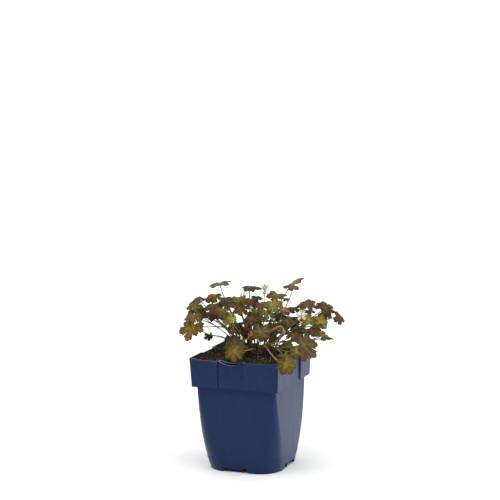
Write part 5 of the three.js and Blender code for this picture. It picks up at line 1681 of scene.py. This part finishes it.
def add_slivers(skin, centre, length, width, turn, pitch, bend, color):
    """Bent slivers on the compost, each four five-sided rings along a parabola."""
    amount = len(centre)
    ahead = np.stack([np.cos(turn) * np.cos(pitch), np.sin(turn) * np.cos(pitch), np.sin(pitch)], -1)
    side = np.stack([-np.sin(turn), np.cos(turn), np.zeros(amount)], -1)
    over = np.cross(ahead, side)
    angle = circle(SLIVER_SIDES)[None, :, None]
    rise = width * 0.25 + length * np.abs(np.sin(pitch)) * 0.42
    base = np.column_stack([centre, crumb_height(centre[:, 0], centre[:, 1]) + rise])
    bow = (SLIVER_STATIONS ** 2 * 4 - 0.4) * (bend * length)[:, None]
    spine = (base[:, None] + ahead[:, None] * (SLIVER_STATIONS * length[:, None])[..., None]
             + side[:, None] * bow[..., None])
    ring = side[:, None] * np.cos(angle) + over[:, None] * (0.6 * np.sin(angle))
    girth = (SLIVER_GIRTHS * width[:, None] / 2)[..., None, None]
    points = (spine[:, :, None] + ring[:, None] * girth).reshape(-1, 3)
    each = len(SLIVER_STATIONS) * SLIVER_SIDES
    sides = grid_faces(len(SLIVER_STATIONS), SLIVER_SIDES, True)
    ends = np.array([np.arange(SLIVER_SIDES)[::-1], np.arange(each - SLIVER_SIDES, each)])
    first = each * np.arange(amount)[:, None, None]
    faces = [(sides + first).reshape(-1, 4), (ends + first).reshape(-1, SLIVER_SIDES)]
    skin.add(points, np.repeat(color, each, 0), faces, STEM_SLOT)


def strew(skin, settings):
    """Strews the loose bits, which lie nearly level at seeded places and turns, and sets the
    straws that stand out."""
    draw = np.random.default_rng(17)
    reach = POT.rim_half - 4.0
    for count, lengths, widths, codes in STREWN:
        centre = draw.uniform(-reach, reach, (int(count * settings.strewn), 2))
        keep = ~in_plastic(centre[:, 0], centre[:, 1]) & (np.hypot(*(centre / reach).T) < 1.3)
        centre = centre[keep]
        amount = len(centre)
        length = draw.uniform(*lengths, amount)
        width = draw.uniform(*widths, amount)
        length = np.minimum(length, 2 * (POT.rim_half - 3 - np.abs(centre).max(1)))
        turn = draw.uniform(0, 2 * math.pi, amount)
        pitch = draw.normal(0, 0.16, amount)
        color = palette(codes)[draw.integers(0, len(codes), amount)]
        color = color * draw.uniform(0.7, 1.3, amount)[:, None]
        bend = draw.uniform(-0.16, 0.16, amount)
        add_slivers(skin, centre, length, width, turn, pitch, bend, color)
    across, away, length, width, turn, pitch = np.array([row[:6] for row in STRAWS]).T
    places = np.array([to_pot(place)[:2] for place in zip(across, away, np.zeros(len(STRAWS)))])
    bend = np.linspace(-0.1, 0.12, len(STRAWS))
    color = palette([row[6] for row in STRAWS])
    add_slivers(skin, places, length, width, turn * DEG, pitch * DEG, bend, color)


# ---------- stage
CAMERA = Record(azimuth=22.28, elevation=8.46, roll=-0.94, distance=1955.05,
                lens=120.25, sensor=36, aim_up=256.88, aim_right=0.73)
FLOOR = Record(near=-4.0, bend=3.0, height=9.0, half_width=12)  # metres
# Lights: how far round from the camera, how high and how wide, in degrees.
OVERHEAD_LIGHT = (-35, 78, 90)
SIDE_LIGHT = (78, 6, 50)


def camera_axes(azimuth, elevation):
    """The right, up and back directions of a camera at that bearing and height in degrees,
    before it is rolled."""
    a, e = azimuth * DEG, elevation * DEG
    right = np.array([math.cos(a), math.sin(a), 0])
    up = np.array([-math.sin(a) * math.sin(e), math.cos(a) * math.sin(e), math.cos(e)])
    back = np.array([math.sin(a) * math.cos(e), -math.cos(a) * math.cos(e), math.sin(e)])
    return right, up, back


def make_camera():
    """A long lens that looks a little down at the plant, rolled by a degree."""
    data = bpy.data.cameras.new("camera")
    data.lens = CAMERA.lens
    data.sensor_width = CAMERA.sensor
    data.clip_start = 0.05
    data.clip_end = 60
    camera = new_object("camera", data)
    level, up, back = camera_axes(CAMERA.azimuth, CAMERA.elevation)
    c, s = math.cos(CAMERA.roll * DEG), math.sin(CAMERA.roll * DEG)
    aim = np.array([0, 0, CAMERA.aim_up]) + level * CAMERA.aim_right
    place = (aim + back * CAMERA.distance) * MM
    axes = np.column_stack([level * c + up * s, up * c - level * s, back])
    camera.matrix_world = Matrix.Translation(Vector(place)) @ Matrix(axes.tolist()).to_4x4()
    bpy.context.scene.camera = camera


def make_light(name, place, strength):
    """A soft, even light from a direction: a sun whose disc is many degrees wide."""
    around, elevation, spread = place
    data = bpy.data.lights.new(name, "SUN")
    data.angle = spread * DEG
    data.energy = strength
    light = new_object(name, data)
    back = Vector(camera_axes(CAMERA.azimuth + around, elevation)[2])
    light.location = back * 2
    light.rotation_euler = back.to_track_quat("Z", "Y").to_euler()


def make_floor(settings):
    """A pale floor that sweeps up far behind: level, a quarter circle, then upright."""
    far, bend = settings.floor_depth, FLOOR.bend
    turn = np.linspace(0, math.pi / 2, 25)
    sweep = np.stack([far + bend * np.sin(turn), bend * (1 - np.cos(turn))], -1)
    profile = np.vstack([[(FLOOR.near, 0)], sweep, [(far + bend, FLOOR.height)]])
    right, _, back = camera_axes(CAMERA.azimuth, 0)
    rows = [profile[:, :1] * -back + profile[:, 1:] * UPWARD + right * side
            for side in (FLOOR.half_width, -FLOOR.half_width)]
    faces = grid_faces(2, len(profile), False).tolist()
    floor = solid_object("floor", np.vstack(rows) / MM, faces)
    floor.data.polygons.foreach_set("use_smooth", [True] * len(faces))
    floor.data.materials.append(floor_material(settings.floor_color))


def make_stage(settings):
    """The floor, an even pale surround, two broad lights and the camera."""
    make_floor(settings)
    world = bpy.data.worlds.new("pale_surround")
    world.use_nodes = True
    world.node_tree.nodes.clear()
    light = add_node(world.node_tree, "Background", {
        "Color": (1, 1, 1, 1), "Strength": settings.surround})
    add_node(world.node_tree, "OutputWorld", {"Surface": light})
    bpy.context.scene.world = world
    make_light("overhead_light", OVERHEAD_LIGHT, settings.key_power)
    make_light("side_light", SIDE_LIGHT, settings.side_power)
    bpy.context.scene.view_settings.view_transform = "Standard"
    make_camera()


# ---------- add-on
class FoliageSettings(bpy.types.PropertyGroup):
    """What a user may change on the leaves."""

    edge_tint: FloatProperty(name="Edge tint", default=0.85, min=0, max=1,
                             description="How far the blades' edges turn to their darker tone")
    vein_tint: FloatProperty(name="Vein tint", default=0.45, min=0, max=1,
                             description="How pale the veins are")


class PotSettings(bpy.types.PropertyGroup):
    """What a user may change on the pot and the compost."""

    pot_color: FloatVectorProperty(name="Pot colour", subtype="COLOR", size=3, min=0, max=1,
                                   default=tuple(linear("06244a")),
                                   description="The plastic's own colour")
    roughness: FloatProperty(name="Roughness", default=0.34, min=0.05, max=1,
                             description="How matt the plastic is")
    dust: FloatProperty(name="Dust", default=0.12, min=0, max=1,
                        description="How much dust lies on the pot near its rim")
    edge_radius: FloatProperty(name="Edge radius", default=0.5 * MM, unit="LENGTH",
                               description="The radius of the moulded edges")
    compost_light: FloatProperty(name="Compost brightness", default=1.0, min=0, max=4,
                                 description="Scales the compost's colour")
    strewn: FloatProperty(name="Loose bits", default=1.0, min=0, max=2,
                          description="Share of the usual number of fibres and grit")


class StageSettings(bpy.types.PropertyGroup):
    """What a user may change on the stage."""

    floor_depth: FloatProperty(name="Floor depth", default=5, unit="LENGTH",
                               description="How far behind the pot the floor starts to rise")
    floor_color: FloatVectorProperty(name="Floor colour", subtype="COLOR", size=3, min=0, max=1,
                                     default=(0.88, 0.88, 0.88), description="The floor's paint")
    surround: FloatProperty(name="Surround", default=0.4, min=0,
                            description="Brightness of the even surround")
    key_power: FloatProperty(name="Overhead light", default=2.8, min=0,
                             description="Strength of the broad light overhead")
    side_power: FloatProperty(name="Side light", default=2.7, min=0,
                              description="Strength of the broad light at the right")


class GERANIUM_OT_pot(bpy.types.Operator):
    """Builds the square nursery pot"""

    bl_idname = "geranium.build_pot"
    bl_label = "Build pot"

    def execute(self, context):
        make_pot(context.scene.geranium_pot)
        return {"FINISHED"}


class GERANIUM_OT_compost(bpy.types.Operator):
    """Fills the pot with compost and strews fibres over it"""

    bl_idname = "geranium.build_compost"
    bl_label = "Build compost"

    def execute(self, context):
        make_compost(context.scene.geranium_pot)
        return {"FINISHED"}


class GERANIUM_OT_shoots(bpy.types.Operator):
    """Grows every leafy shoot"""

    bl_idname = "geranium.build_shoots"
    bl_label = "Build leafy shoots"

    def execute(self, context):
        settings = context.scene.geranium_foliage
        for name, shoot in SHOOTS.items():
            if not shoot[0].leaf.head:
                make_shoot(name, shoot, settings)
        return {"FINISHED"}


class GERANIUM_OT_flowers(bpy.types.Operator):
    """Makes the two white flowers on their stalks"""

    bl_idname = "geranium.build_flowers"
    bl_label = "Build flowers"

    def execute(self, context):
        for name, petal_width, stalk, sepals in FLOWERS:
            stem = SHOOTS[name][0]
            petals_piece(f"{name}_petals", stem.leaf, petal_width)
            stalk_piece(f"{name}_stalk", stem, stalk, sepals)
        return {"FINISHED"}


class GERANIUM_OT_seed_head(bpy.types.Operator):
    """Makes the cranesbill seed head"""

    bl_idname = "geranium.build_seed_head"
    bl_label = "Build seed head"

    def execute(self, context):
        seed_head_piece("seed_head", SHOOTS["seed_head"][0])
        return {"FINISHED"}


class GERANIUM_OT_stage(bpy.types.Operator):
    """Sets the floor, the lights and the camera"""

    bl_idname = "geranium.build_stage"
    bl_label = "Build stage"

    def execute(self, context):
        make_stage(context.scene.geranium_stage)
        return {"FINISHED"}


class GERANIUM_PT_panel(bpy.types.Panel):
    """Lists the builders in the sidebar"""

    bl_label = "Geranium"
    bl_space_type = "VIEW_3D"
    bl_region_type = "UI"
    bl_category = "Geranium"

    def draw(self, context):
        for operator in OPERATORS:
            self.layout.operator(operator.bl_idname)
        for name, group in GROUPS.items():
            box = self.layout.box()
            for key in group.__annotations__:
                box.prop(getattr(context.scene, name), key)


OPERATORS = [GERANIUM_OT_pot, GERANIUM_OT_compost, GERANIUM_OT_shoots, GERANIUM_OT_flowers,
             GERANIUM_OT_seed_head, GERANIUM_OT_stage]
GROUPS = {"geranium_foliage": FoliageSettings, "geranium_pot": PotSettings,
          "geranium_stage": StageSettings}
CLASSES = [*GROUPS.values(), *OPERATORS, GERANIUM_PT_panel]


def register():
    """Adds the classes, and each group of settings to the scene."""
    for one in CLASSES:
        bpy.utils.register_class(one)
    for name, group in GROUPS.items():
        setattr(bpy.types.Scene, name, PointerProperty(type=group))


def unregister():
    """Takes the settings and the classes away again."""
    for name in GROUPS:
        delattr(bpy.types.Scene, name)
    for one in reversed(CLASSES):
        bpy.utils.unregister_class(one)


def main():
    """Builds every piece and the stage."""
    register()
    bpy.ops.geranium.build_pot()
    bpy.ops.geranium.build_compost()
    bpy.ops.geranium.build_shoots()
    bpy.ops.geranium.build_flowers()
    bpy.ops.geranium.build_seed_head()
    bpy.ops.geranium.build_stage()


if __name__ == "__main__":
    main()
